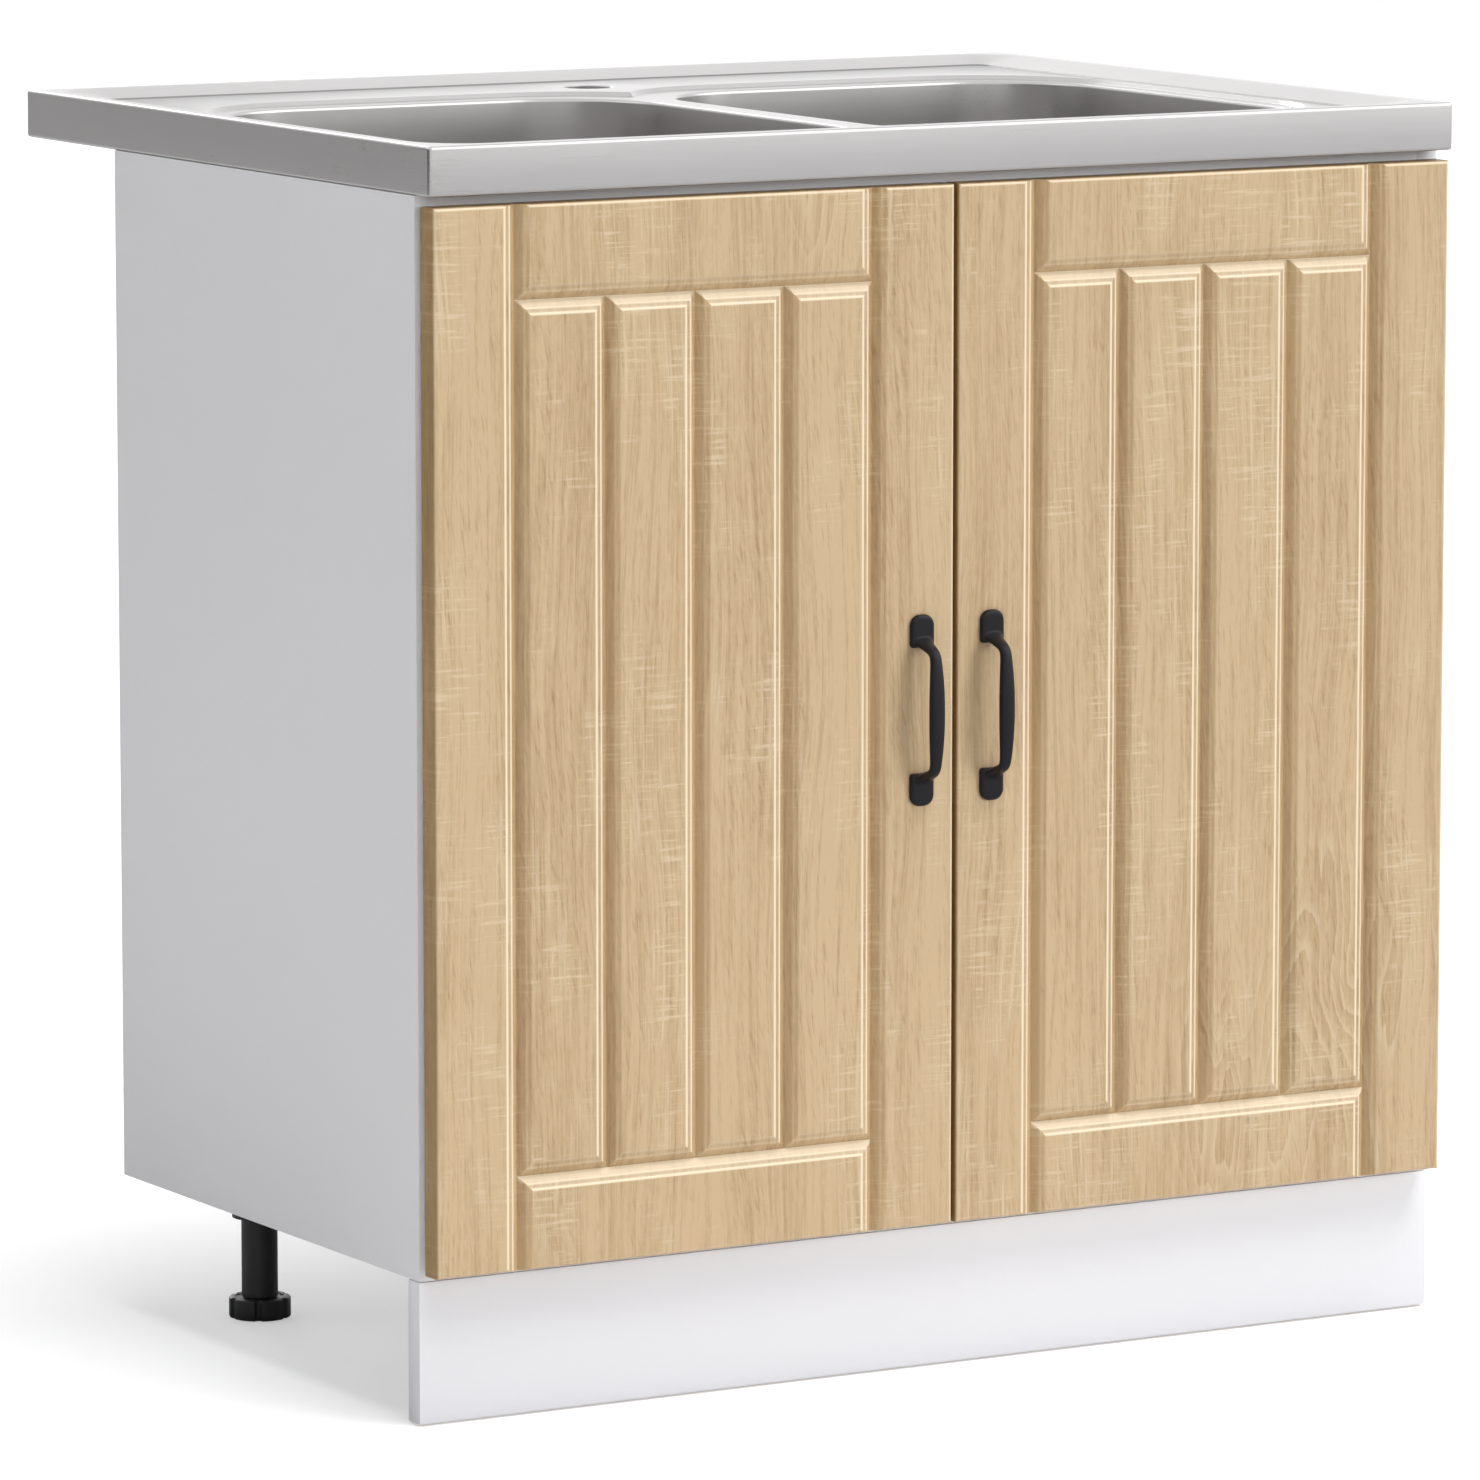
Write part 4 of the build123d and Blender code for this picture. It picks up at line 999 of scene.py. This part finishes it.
def door_front(bm, painted_shade, rubbed, xs, zs, face_y, surface):
    """The grid of the door's front: each cell is split along the diagonal that lies nearer to
    the surface. Gives back the vertices of its border."""
    grid = []
    for z in zs:
        row = []
        for x in xs:
            deep, down, highlight = surface(x, z)
            vertex = bm.verts.new((x, face_y + deep, z))
            vertex[painted_shade], vertex[rubbed] = down, highlight
            row.append(vertex)
        grid.append(row)
    for row in range(len(zs) - 1):
        for column in range(len(xs) - 1):
            a, b, c, d = (grid[row][column], grid[row][column + 1], grid[row + 1][column + 1],
                          grid[row + 1][column])
            middle = surface((xs[column] + xs[column + 1]) / 2, (zs[row] + zs[row + 1]) / 2)[0]
            rising, falling = ((p.co.y + q.co.y) / 2 - face_y for p, q in ((a, c), (b, d)))
            if abs(rising - falling) < 1e-7:
                faces = ((a, b, c, d),)
            elif abs(rising - middle) < abs(falling - middle):
                faces = ((a, b, c), (a, c, d))
            else:
                faces = ((a, b, d), (b, c, d))
            for face in faces:
                bm.faces.new(face)
    return (grid[0] + [row[-1] for row in grid[1:]] + grid[-1][-2::-1]
            + [row[0] for row in grid[-2:0:-1]])


def door_piece(name, side):
    """A door whose front is one surface with its grooves and rounded edges, and whose back has
    the recesses of the hinge cups."""
    doors = settings("doors")
    node = f"{name}_door"
    first, last = low(node), high(node)
    radius, half = doors.arris, doors.groove_width / 2
    ends = (first.x + doors.stile_width + half, last.x - doors.stile_width - half)
    cross = (first.z + doors.rail_band + half, last.z - doors.rail_band - half)
    pitch = (ends[1] - ends[0]) / doors.plank_count
    inner = [ends[0] + pitch * number for number in range(1, doors.plank_count)]
    section = groove_section()
    width = section[-1][0]
    groove_stops = [bend[0] for bend in section] + [width + LOOP_GAP]
    edge_stops = [radius * (1 - math.cos(math.radians(15 * k))) for k in range(7)]
    edge_stops.append(radius + LOOP_GAP)

    def lines(start, end, middles):
        """Where the grid's lines lie: at each bend of the edges and the grooves."""
        stops = {round(place, 7) for stop in edge_stops for place in (start + stop, end - stop)}
        stops |= {round(middle + way * stop, 7) for middle in middles for stop in groove_stops
                  for way in (-1, 1)}
        return sorted(stops)

    def surface(x, z):
        """Depth below the door's face, painted shade and painted highlight."""
        # Painted highlight along the middle of the rounded front edge: full on the right and top
        # edges, which face the light, and weaker on the left and bottom. Painted shade where the
        # rounding turns into the side faces.
        edge, highlight_share = min((x - first.x, 0.3), (last.x - x, 1.0), (z - first.z, 0.2),
                         (last.z - z, 1.0))
        found = [(arris_depth(edge, radius), max(0.0, 1 - edge / (radius * 0.4)),
                  highlight_share * max(0.0, 1 - abs(edge - radius * 0.55) / (radius * 0.45)))]
        across = cross[0] - 1e-6 < z < cross[1] + 1e-6
        uprights = [*ends, *inner] if across else ends
        found += [groove_at(section, x - middle, **UPRIGHT_PAINTED_LIGHT) for middle in uprights
                  if abs(x - middle) < width]
        if ends[0] - 1e-6 < x < ends[1] + 1e-6:
            found += [groove_at(section, z - middle, **CROSS_PAINTED_LIGHT) for middle in cross
                      if abs(z - middle) < width]
        deepest = max(found)
        return deepest if deepest[0] > 2e-5 else (deepest[0], 0.0,
                                                  max(item[2] for item in found))

    bm = bmesh.new()
    painted_shade = bm.verts.layers.float.new("groove")
    rubbed = bm.verts.layers.float.new("rubbed")
    border = door_front(bm, painted_shade, rubbed, lines(first.x, last.x, [*ends, *inner]),
                        lines(first.z, last.z, cross), first.y, surface)
    wall = [bm.verts.new((v.co.x, last.y - BACK_EASE, v.co.z)) for v in border]
    # Painted shade: the doors' side faces get the full shade tint.
    for vertex in wall:
        vertex[painted_shade] = 1.0
    back = [bm.verts.new((min(max(v.co.x, first.x + BACK_EASE), last.x - BACK_EASE), last.y,
                          min(max(v.co.z, first.z + BACK_EASE), last.z - BACK_EASE)))
            for v in border]
    skin(bm, [border, wall, back])
    bmesh.ops.remove_doubles(bm, verts=back, dist=1e-7)
    film_faces = set(bm.faces)
    loops = [[v for v in back if v.is_valid]]
    cup_x = side * (max(abs(first.x), abs(last.x)) - CUP_INSET)
    for cup_low, cup_high in islands(f"{name}_hinge_cups"):
        level = (cup_low.z + cup_high.z) / 2
        rows = [[bm.verts.new((x, last.y - deep, z)) for x, z in circle(cup_x, level, reach)]
                for deep, reach in ((0.0, CUP_RADIUS + 0.0002), (0.0003, CUP_RADIUS),
                                    (CUP_DEPTH, CUP_RADIUS))]
        skin(bm, rows)
        bm.faces.new(rows[-1])
        loops.append(rows[0])
    fill_between(bm, loops)
    for face in bm.faces:
        if face not in film_faces:
            face.material_index = 1
    made = to_object(f"{name}_door_front", bm, [finish(f"door_{name}"), finish("door_back")],
                     33.0)
    set_in_place(made, node, "door_film", node)


class SINKCAB_OT_doors(bpy.types.Operator):
    """Two grooved doors in oak film."""
    bl_idname = "sinkcab.doors"
    bl_label = "Doors"

    def execute(self, context):
        for name, side in SIDES.items():
            door_piece(name, side)
        return {"FINISHED"}


# ---- Handles ---------------------------------------------------------------------------------
# Half a bow from the screw to the middle: (height towards the middle, share of the stand-off,
# share from the neck's width to the root's, share from the neck's width to the bar's).
BOW = ((-0.0005, 0.04, 1.00, 0.0), (0.0010, 0.13, 0.92, 0.0), (0.0027, 0.27, 0.66, 0.0),
       (0.0045, 0.46, 0.32, 0.0), (0.0061, 0.65, 0.10, 0.0), (0.0080, 0.805, 0.0, 0.02),
       (0.0108, 0.895, 0.0, 0.06), (0.0150, 0.935, 0.0, 0.20), (0.0220, 0.965, 0.0, 0.50),
       (0.0310, 0.986, 0.0, 0.80), (0.0400, 0.997, 0.0, 0.96), (0.0480, 1.0, 0.0, 1.0))
BOW_STEPS, BAR_POINTS = 6, 28
CAST_VOXEL, CAST_SMOOTHING = 0.00052, 7
BAR_SQUARENESS, BAR_BACK = 0.8, 0.68        # how square the bar's section is, its back's depth
TAB_LENGTH, TAB_OUTER_RADIUS, TAB_INNER_RADIUS = 0.0225, 0.0075, 0.0025
# The edge of a handle's tab, from the door out: (inset, distance from the door).
TAB_EDGE = ((0.0, 0.0), (0.0, 0.0022), (0.0004, 0.0031), (0.0012, 0.0037), (0.0024, 0.0040))


def bow_stations(handles, projection):
    """The bow from tab to tab: (height, stand-off, width, thickness) at each station."""
    crest = projection - handles.bar_thickness / 2
    scale = handles.spacing / 2 / BOW[-1][0]
    half = []
    for number in range(len(BOW) - 1):
        a, b, c, d = (Vector(BOW[max(0, min(len(BOW) - 1, number + k))]) for k in (-1, 0, 1, 2))
        for step in range(BOW_STEPS):
            t = step / BOW_STEPS
            half.append(0.5 * (2 * b + (c - a) * t + (2 * a - 5 * b + 4 * c - d) * t ** 2
                               + (3 * b - a - 3 * c + d) * t ** 3))
    half.append(Vector(BOW[-1]))
    neck, thin = handles.neck_width, handles.neck_thickness
    made = [(handles.spacing / 2 - height * scale, crest * away,
             neck + (handles.neck_root - neck) * root + (handles.bar_width - neck) * belly,
             thin + (handles.bar_thickness - thin) * belly)
            for height, away, root, belly in half]
    return made + [(-height, *rest) for height, *rest in made[-2::-1]]


def signed_power(value, power):
    return math.copysign(abs(value) ** power, value)


def handle_piece(name):
    """A bow handle: the bar and both tabs run together in one cast piece."""
    node = f"{name}_handle"
    first, last = low(node), high(node)
    x, z = (first.x + last.x) / 2, (first.z + last.z) / 2
    stations = bow_stations(settings("handles"), last.y - first.y)
    bm = bmesh.new()
    rows = []
    for number, (height, off, wide, thick) in enumerate(stations):
        before = stations[max(number - 1, 0)]
        after = stations[min(number + 1, len(stations) - 1)]
        heading = Vector((0, before[1] - after[1], after[0] - before[0])).normalized()
        inward = heading.cross(Vector((1, 0, 0)))
        row = []
        for k in range(BAR_POINTS):
            turn = 2 * math.pi * k / BAR_POINTS
            sideways = signed_power(math.cos(turn), BAR_SQUARENESS)
            lift = signed_power(math.sin(turn), BAR_SQUARENESS)
            if lift < 0:
                lift = BAR_BACK * lift - (1 - BAR_BACK) * (1 - abs(sideways))
            row.append(bm.verts.new(Vector((x + wide / 2 * sideways, last.y - off, z + height))
                                    + inward * (thick / 2 * lift)))
        rows.append(row)
    skins = [rows]
    tab_half = (last.x - first.x) / 2
    for end, outer in ((-1, z - first.z), (1, last.z - z)):
        inner = outer - TAB_LENGTH
        corners = [(way * (tab_half - radius), height, radius, start)
                   for way, height, radius, start in (
                       (1, outer - TAB_OUTER_RADIUS, TAB_OUTER_RADIUS, 0),
                       (-1, outer - TAB_OUTER_RADIUS, TAB_OUTER_RADIUS, 90),
                       (-1, inner + TAB_INNER_RADIUS, TAB_INNER_RADIUS, 180),
                       (1, inner + TAB_INNER_RADIUS, TAB_INNER_RADIUS, 270))]
        skins.append([[bm.verts.new((x + px, last.y - deep, z + end * h))
                       for corner_x, corner_h, radius, start in corners
                       for px, h in arc(corner_x, corner_h, radius - inset, start, 90, 8)]
                      for inset, deep in TAB_EDGE])
    for rows in skins:
        skin(bm, rows)
        bm.faces.new(rows[0])
        bm.faces.new(rows[-1])
    raw = raw_object("handle_raw", bm)
    united = raw.modifiers.new("join", "REMESH")
    united.mode, united.voxel_size = "VOXEL", CAST_VOXEL
    blended = raw.modifiers.new("blend", "SMOOTH")
    blended.factor, blended.iterations = 0.5, CAST_SMOOTHING
    bm = shaped_bmesh(raw)
    for vertex in bm.verts:
        for k in range(3):
            vertex.co[k] = min(max(vertex.co[k], first[k]), last[k])
    made = to_object(f"{name}_bow_handle", bm, [finish("handle_finish")], 50.0)
    set_in_place(made, f"{name}_door", "handle_finish", node)


class SINKCAB_OT_handles(bpy.types.Operator):
    """Two bow handles."""
    bl_idname = "sinkcab.handles"
    bl_label = "Handles"

    def execute(self, context):
        for name in SIDES:
            handle_piece(name)
        return {"FINISHED"}


# ---- Sink ------------------------------------------------------------------------------------
RIM_CORNER = 0.040          # plan radius of the rim's inner edge
SKIRT_CORNER = 0.003        # plan radius of the skirt
# The rounding at each point of the top's section.
SECTION_RADII = (0, 0.0022, 0.0026, 0.010, 0.0008, 0.0008, 0)


def field_loop(grow):
    """The outline of the two joined fields round the bowls, grown by an offset."""
    radius = FIELD_RADIUS + grow
    near, far = FIELD_CENTRE_X, BOWL_FAR_X + FIELD_SIDE + grow - radius
    front = BOWL_FRONT_Y - FIELD_FRONT - grow + radius
    back = BOWL_BACK_Y + FIELD_BACK + grow - radius
    start = math.degrees(math.acos(near / radius))
    half = joined([arc(near, front, radius, 180 + start, 90 - start, 12),
                   arc(far, front, radius, -90, 90, 12), arc(far, back, radius, 0, 90, 12),
                   arc(near, back, radius, 90, 90 - start, 12)], 8, closed=False)
    half[0], half[-1] = (0.0, half[0][1]), (0.0, half[-1][1])
    return half + [(-x, y) for x, y in half[-2:0:-1]]


def bowl_loop(side, grow):
    """A bowl's outline in plan, grown by an offset."""
    x0, x1 = sorted((side * BOWL_NEAR_X, side * BOWL_FAR_X))
    return rounded_loop(x0 - grow, x1 + grow, BOWL_FRONT_Y - grow, BOWL_BACK_Y + grow,
                        settings("sink").bowl_corner + grow, 14)


def sheet_piece(name, bm, upward, node):
    """A steel sheet from a surface, which faces up at a point and gets its wall below."""
    made = to_object(name, bm, [finish("sink_steel")], 40.0)
    nearest = min(made.data.polygons, key=lambda face: (face.center - Vector(upward)).length)
    if nearest.normal.z < 0:
        made.data.flip_normals()
    wall = made.modifiers.new("wall", "SOLIDIFY")
    wall.thickness, wall.offset, wall.use_even_offset = settings("sink").sheet, -1.0, False
    mesh = evaluated(made)
    made.modifiers.remove(wall)
    old, made.data = made.data, mesh
    bpy.data.meshes.remove(old)
    set_in_place(smoothed(made, 40.0), "carcass", "sink_steel", node)


def rim_radius(inset, z, flat):
    """Plan radius of the top's corners at a distance in from its side."""
    if z < SKIRT_Z + 0.0005:
        return SKIRT_CORNER
    if inset <= 0.0018:
        return SKIRT_CORNER - inset
    if inset <= flat:
        return 0.0012 + (RIM_CORNER - 0.0012) * (inset - 0.0018) / (flat - 0.0018)
    return max(RIM_CORNER - (inset - flat), 0.012)


def top_piece():
    """The top: from the return flange up the skirt, over the rim and down to the deck, then the
    field round the bowls and the tap hole."""
    flat = settings("sink").rim_flat
    deck_edge = flat + settings("sink").rim_slope
    section = [(0.028, SKIRT_Z), (0.0, SKIRT_Z), (0.0, RIM_Z), (flat, RIM_Z),
               (deck_edge - 0.0012, DECK_Z + 0.0009), (deck_edge, DECK_Z),
               (deck_edge + 0.0013, DECK_Z)]
    rounded = []
    for number, radius in enumerate(SECTION_RADII):
        rounded += (softened(section[number - 1:number + 2], radius, 6)[1:-1] if radius
                    else [section[number]])
    bm = bmesh.new()
    crease = bm.verts.layers.float.new("crease")
    rows = []
    for inset, z in rounded:
        row = verts_at(bm, rounded_loop(-SIDE_X + inset, SIDE_X - inset, FRONT_Y + inset,
                                        BACK_Y - inset, rim_radius(inset, z, flat), 10, 16), z)
        for vertex in row:
            beside, before = abs(abs(vertex.co.x) - SIDE_X), abs(vertex.co.y - FRONT_Y)
            corner = 0.00005 < beside < 0.0004 and before < 0.0035
            skirt = inset < 0.0001 and z > SKIRT_Z + 0.002
            # Painted shade: a dark band from the foot of the rim's slope across the deck's edge,
            # and a dark line down each front corner of the skirt.
            if inset > deck_edge - 0.0013 or (skirt and corner):
                vertex[crease] = 1.0
        rows.append(row)
    field = [verts_at(bm, field_loop(grow), z) for grow, z in
             softened([(0.0043, DECK_Z), (0.003, DECK_Z), (0.0, FIELD_Z), (-0.002, FIELD_Z)],
                      0.0030, 4)]
    hole = [verts_at(bm, circle(0.0, TAP_Y, reach), DECK_Z - down)
            for reach, down in ((0.0195, 0.0), (0.0182, 0.0001), (0.0175, 0.0008))]
    for loops in (rows, field, hole):
        skin(bm, loops)
    fill_between(bm, [rows[-1], field[0], hole[0]])
    mouths = [verts_at(bm, bowl_loop(side, BOWL_MOUTH), FIELD_Z) for side in SIDES.values()]
    fill_between(bm, [field[-1], *mouths])
    sheet_piece("sink_sheet", bm, (0.2, 0.26, DECK_Z), "sink_top")


def bowl_piece(name, side):
    """A bowl: its lip, wall, floor radius and floor, down to the strainer's hole."""
    sink = settings("sink")
    lip, foot = sink.lip_radius, sink.floor_radius
    section = [(BOWL_MOUTH, FIELD_Z)]
    section += arc(lip, FIELD_Z - lip, lip, 90, 90, 10)
    section += [(0.0, FIELD_Z - lip - (BOWL_DEPTH - lip - foot) * k / 6) for k in range(1, 6)]
    section += arc(-foot, BOWL_FLOOR_Z + foot, foot, 0, -90, 10)
    bm = bmesh.new()
    rows = [verts_at(bm, bowl_loop(side, grow), z) for grow, z in section]
    centre = Vector((side * (BOWL_NEAR_X + BOWL_FAR_X) / 2, (BOWL_FRONT_Y + BOWL_BACK_Y) / 2))
    inward = [(point, centre + (point - centre).normalized() * DRAIN_RADIUS)
              for point in map(Vector, bowl_loop(side, -foot))]
    for share in (0.15, 0.4, 0.7, 1.0):
        rows.append(verts_at(bm, [point.lerp(goal, share) for point, goal in inward],
                             BOWL_FLOOR_Z))
    skin(bm, rows)
    sheet_piece(f"{name}_bowl_shell", bm, (centre.x + 0.08, centre.y, BOWL_FLOOR_Z),
                f"{name}_bowl")


class SINKCAB_OT_sink(bpy.types.Operator):
    """Skirt, rim, deck and the field round the bowls, and both bowls."""
    bl_idname = "sinkcab.sink"
    bl_label = "Sink"

    def execute(self, context):
        top_piece()
        for name, side in SIDES.items():
            bowl_piece(name, side)
        return {"FINISHED"}


# ---- Strainers -------------------------------------------------------------------------------
CUP_Z = BOWL_FLOOR_Z - 0.045
KNOB_HEIGHT = 0.009
THREAD = 0.0018


def strainer_cup(name):
    """A flanged cup with a ringed outlet."""
    node = f"{name}_strainer_body"
    foot, top = low(node).z, high(node).z
    profile = [(0.0415, CUP_Z + 0.0035), (0.0415, BOWL_FLOOR_Z - 0.002),
               (0.0420, BOWL_FLOOR_Z + 0.0005), (0.0435, top - 0.0003), (0.0450, top),
               (0.0530, top), (0.0550, top - 0.0004), (0.0560, BOWL_FLOOR_Z + 0.0003),
               (0.0560, BOWL_FLOOR_Z), (0.0430, BOWL_FLOOR_Z - 0.0002),
               (0.0430, CUP_Z + 0.0015), (0.0420, CUP_Z), (0.0239, CUP_Z)]
    z = CUP_Z - 0.0012
    while z > foot + 0.0012:
        profile += [(0.0239, z), (0.0231, z - THREAD / 2)]
        z -= THREAD
    profile += [(0.0232, foot), (0.0205, foot), (0.0200, foot + 0.0005),
                (0.0200, CUP_Z + 0.0010), (0.0207, CUP_Z + 0.0015), (0.0395, CUP_Z + 0.0015),
                (0.0410, CUP_Z + 0.0022), (0.0415, CUP_Z + 0.0035)]
    bm = bmesh.new()
    lathe(bm, profile, 72, upright_axis(node))
    made = to_object(f"{name}_strainer_cup", bm, [finish("strainer_steel")], 32.0)
    set_in_place(made, "carcass", "strainer_steel", node)


def basket_cup(name):
    """A perforated cup with a rounded rim and a knob on a post."""
    node = f"{name}_strainer_basket"
    floor, rim = low(node).z, high(node).z - KNOB_HEIGHT
    wall = ((0.0375, 0.0), (0.0392, 0.0008), (0.0400, 0.0025))
    edge = ((0.0400, -0.0022), (0.0405, -0.0012), (0.0455, -0.0010), (0.0460, -0.0006),
            (0.0457, -0.0001), (0.0450, 0.0), (0.0410, -0.0001), (0.0397, -0.0008),
            (0.0390, -0.0022))
    inside = ((0.0390, 0.0028), (0.0384, 0.0016), (0.0370, 0.0010), (0.0036, 0.0010),
              (0.0030, 0.0018))
    knob = ((0.0030, -0.0006), (0.0036, 0.0), (0.0056, 0.0), (0.0068, 0.0010),
            (0.0070, 0.0028), (0.0064, 0.0062), (0.0050, 0.0082), (0.0026, 0.0089),
            (0.0, 0.0090))
    profile = [(0.0, floor)] + [(radius, level + rise) for run, level in (
        (wall, floor), (edge, rim), (inside, floor), (knob, rim)) for radius, rise in run]
    centre = upright_axis(node)
    bm = bmesh.new()
    lathe(bm, profile, 72, centre)
    tree = geometry_tree("perforate", perforated, Body="Geometry", Centre="Vector",
                         Hole_radius="Float", Floor_ring="Float", Inner_ring="Float",
                         Wall_ring="Float", Wall_height="Float", Count="Int")
    made = run_nodes(f"{name}_basket_cup", raw_object("basket_raw", bm), tree,
                     {"Centre": (centre.x, centre.y, floor), "Hole radius": 0.0026,
                      "Floor ring": 0.0210, "Inner ring": 0.0120, "Wall ring": 0.0395,
                      "Wall height": 0.015, "Count": 12}, "strainer_steel", 32.0)
    set_in_place(made, f"{name}_basket", "strainer_steel", node)


class SINKCAB_OT_strainers(bpy.types.Operator):
    """Strainer bodies, gaskets, ring nuts and perforated baskets."""
    bl_idname = "sinkcab.strainers"
    bl_label = "Strainers"

    def execute(self, context):
        for name in SIDES:
            recoat(f"{name}_strainer_gasket", "gasket_rubber")
            recoat(f"{name}_strainer_nut", "nut_plastic")
            strainer_cup(name)
            basket_cup(name)
        return {"FINISHED"}


# ---- Floor, light and camera -----------------------------------------------------------------
# Distant lights: name, width, direction, seen by gloss, seen by matt faces.
LAMPS = (("key", "narrow", (0.50, -0.83, 0.22), False, True),
         ("top", "broad", (0.20, -0.20, 0.96), False, True),
         ("shine", "widest", (0.66, -0.54, 0.53), True, False),
         ("side", "broad", (-0.85, 0.38, 0.36), True, True),
         ("back", "narrow", (0.21, 0.92, 0.31), True, True))
# Cards that only reflections show: name, darkest and lightest tone, start, end, top.
CARDS = (("rear_flag", 0.36, 0.44, (-5.2, 1.6), (-0.9, 5.2), 2.2),
         ("front_flag", 0.08, 0.14, (-4.6, -4.2), (-5.2, 1.6), 2.4),
         ("white_card", 1.20, 1.35, (1.5, 3.5), (4.9, 2.7), 2.6))
CAMERA_PLACE, CAMERA_YAW, CAMERA_PITCH = (-3.2208, -5.5818, 1.3121), 0.523103, 0.141032
CAMERA_LENS, SENSOR_WIDTH = 225.87, 36.0
WHITE, BLACK = (1, 1, 1, 1), (0, 0, 0, 1)


def turned_along(made, direction):
    made.rotation_euler = Vector(direction).to_track_quat("-Z", "Y").to_euler()


def add_floor(given):
    """A pale floor, lifted for the camera and dulled in reflections."""
    material, graph = new_material("floor_paper")
    level = graph.noise(graph.coordinates(), 1.4).spread(0.2, 0.8, 0.97, 1.0)
    tone = graph.shaded(rgba(given.floor_colour), level)
    path = graph.node("ShaderNodeLightPath").outputs
    dulled = Wire(graph, path["Is Glossy Ray"]) * given.floor_dulling
    matt = graph.wire("ShaderNodeBsdfDiffuse", {"Color": graph.mix(dulled, tone, BLACK)})
    seen = Wire(graph, path["Is Camera Ray"]) * given.floor_glow
    glow = graph.wire("ShaderNodeEmission", {"Color": WHITE, "Strength": seen})
    both = graph.wire("ShaderNodeAddShader", {0: matt, 1: glow})
    graph.node("ShaderNodeOutputMaterial", {"Surface": both})
    bm = bmesh.new()
    bmesh.ops.create_grid(bm, x_segments=24, y_segments=24, size=12.0)
    bmesh.ops.translate(bm, verts=bm.verts, vec=(0, 0, -0.0005))
    to_object("floor", bm, [material], outward=False)


def add_world(given):
    """White for the camera and for reflections, dimmer as light on the object."""
    world = bpy.data.worlds.new("studio")
    bpy.context.scene.world = world
    world.use_nodes = True
    world.node_tree.nodes.clear()
    graph = Graph(world.node_tree)
    path = graph.node("ShaderNodeLightPath").outputs
    camera, gloss, through = (Wire(graph, path[f"Is {ray} Ray"])
                              for ray in ("Camera", "Glossy", "Transmission"))
    seen = camera.math("MAXIMUM", gloss.math("MAXIMUM", through))
    light = graph.wire("ShaderNodeBackground",
                       {"Color": WHITE, "Strength": seen.spread(0.0, 1.0, given.ambient, 1.0)})
    graph.node("ShaderNodeOutputWorld", {"Surface": light})


def add_card(name, darkest, lightest, start, end, top):
    """A studio card standing on the floor, which only reflections show."""
    material, graph = new_material(name)
    level = graph.noise(graph.coordinates(), 1.2).spread(0.2, 0.8, darkest, lightest)
    cloth = graph.wire("ShaderNodeEmission", {"Color": graph.grey(level), "Strength": 1.0})
    graph.node("ShaderNodeOutputMaterial", {"Surface": cloth})
    bm = bmesh.new()
    corners = ((*start, 0.02), (*end, 0.02), (*end, top), (*start, top))
    bm.faces.new([bm.verts.new(corner) for corner in corners])
    bmesh.ops.subdivide_edges(bm, edges=bm.edges, cuts=3, use_grid_fill=True)
    made = to_object(name, bm, [material], outward=False)
    made.visible_camera = made.visible_diffuse = False
    made.visible_transmission = made.visible_shadow = False


class SINKCAB_OT_stage(bpy.types.Operator):
    """Plain pale floor, soft studio light and the camera."""
    bl_idname = "sinkcab.stage"
    bl_label = "Stage"

    def execute(self, context):
        given = settings("stage")
        context.scene.view_settings.view_transform = "Standard"
        add_floor(given)
        add_world(given)
        for name, width, source, mirrored, scattering in LAMPS:
            lamp = bpy.data.lights.new(name, "SUN")
            lamp.energy = getattr(given, name + "_strength")
            lamp.angle = getattr(given, width)
            made = link_object(name, lamp)
            made.location = Vector(source) * 5
            made.visible_glossy, made.visible_diffuse = mirrored, scattering
            turned_along(made, -Vector(source))
        for card in CARDS:
            add_card(*card)
        data = bpy.data.cameras.new("camera")
        data.sensor_width, data.lens, data.clip_end = SENSOR_WIDTH, CAMERA_LENS, 100.0
        camera = link_object("camera", data)
        camera.location = CAMERA_PLACE
        level = math.cos(CAMERA_PITCH)
        turned_along(camera, (math.sin(CAMERA_YAW) * level, math.cos(CAMERA_YAW) * level,
                              -math.sin(CAMERA_PITCH)))
        context.scene.camera = camera
        return {"FINISHED"}


# ---- Panel and registration ------------------------------------------------------------------
OPERATORS = (SINKCAB_OT_stage, SINKCAB_OT_carcass, SINKCAB_OT_fittings, SINKCAB_OT_legs,
             SINKCAB_OT_plinth, SINKCAB_OT_hinges, SINKCAB_OT_doors, SINKCAB_OT_handles,
             SINKCAB_OT_sink, SINKCAB_OT_strainers)


class SINKCAB_PT_panel(bpy.types.Panel):
    """Lists the pieces of the sink cabinet."""
    bl_idname = "SINKCAB_PT_panel"
    bl_label = "Sink cabinet"
    bl_space_type = "VIEW_3D"
    bl_region_type = "UI"
    bl_category = "Sink cabinet"

    def draw(self, context):
        for kind in OPERATORS:
            self.layout.operator(kind.bl_idname)
        for name in SETTINGS:
            group = getattr(context.scene, name)
            shown = self.layout.box()
            for key in group.bl_rna.properties.keys():
                if key not in ("rna_type", "name"):
                    shown.prop(group, key)


def register():
    for name, kind in SETTINGS.items():
        bpy.utils.register_class(kind)
        setattr(bpy.types.Scene, name, PointerProperty(type=kind))
    for kind in (*OPERATORS, SINKCAB_PT_panel):
        bpy.utils.register_class(kind)


def unregister():
    for kind in reversed((*OPERATORS, SINKCAB_PT_panel)):
        bpy.utils.unregister_class(kind)
    for name, kind in reversed(SETTINGS.items()):
        delattr(bpy.types.Scene, name)
        bpy.utils.unregister_class(kind)


def main():
    register()
    for kind in OPERATORS:
        group, action = kind.bl_idname.split(".")
        getattr(getattr(bpy.ops, group), action)()


if __name__ == "__main__":
    main()
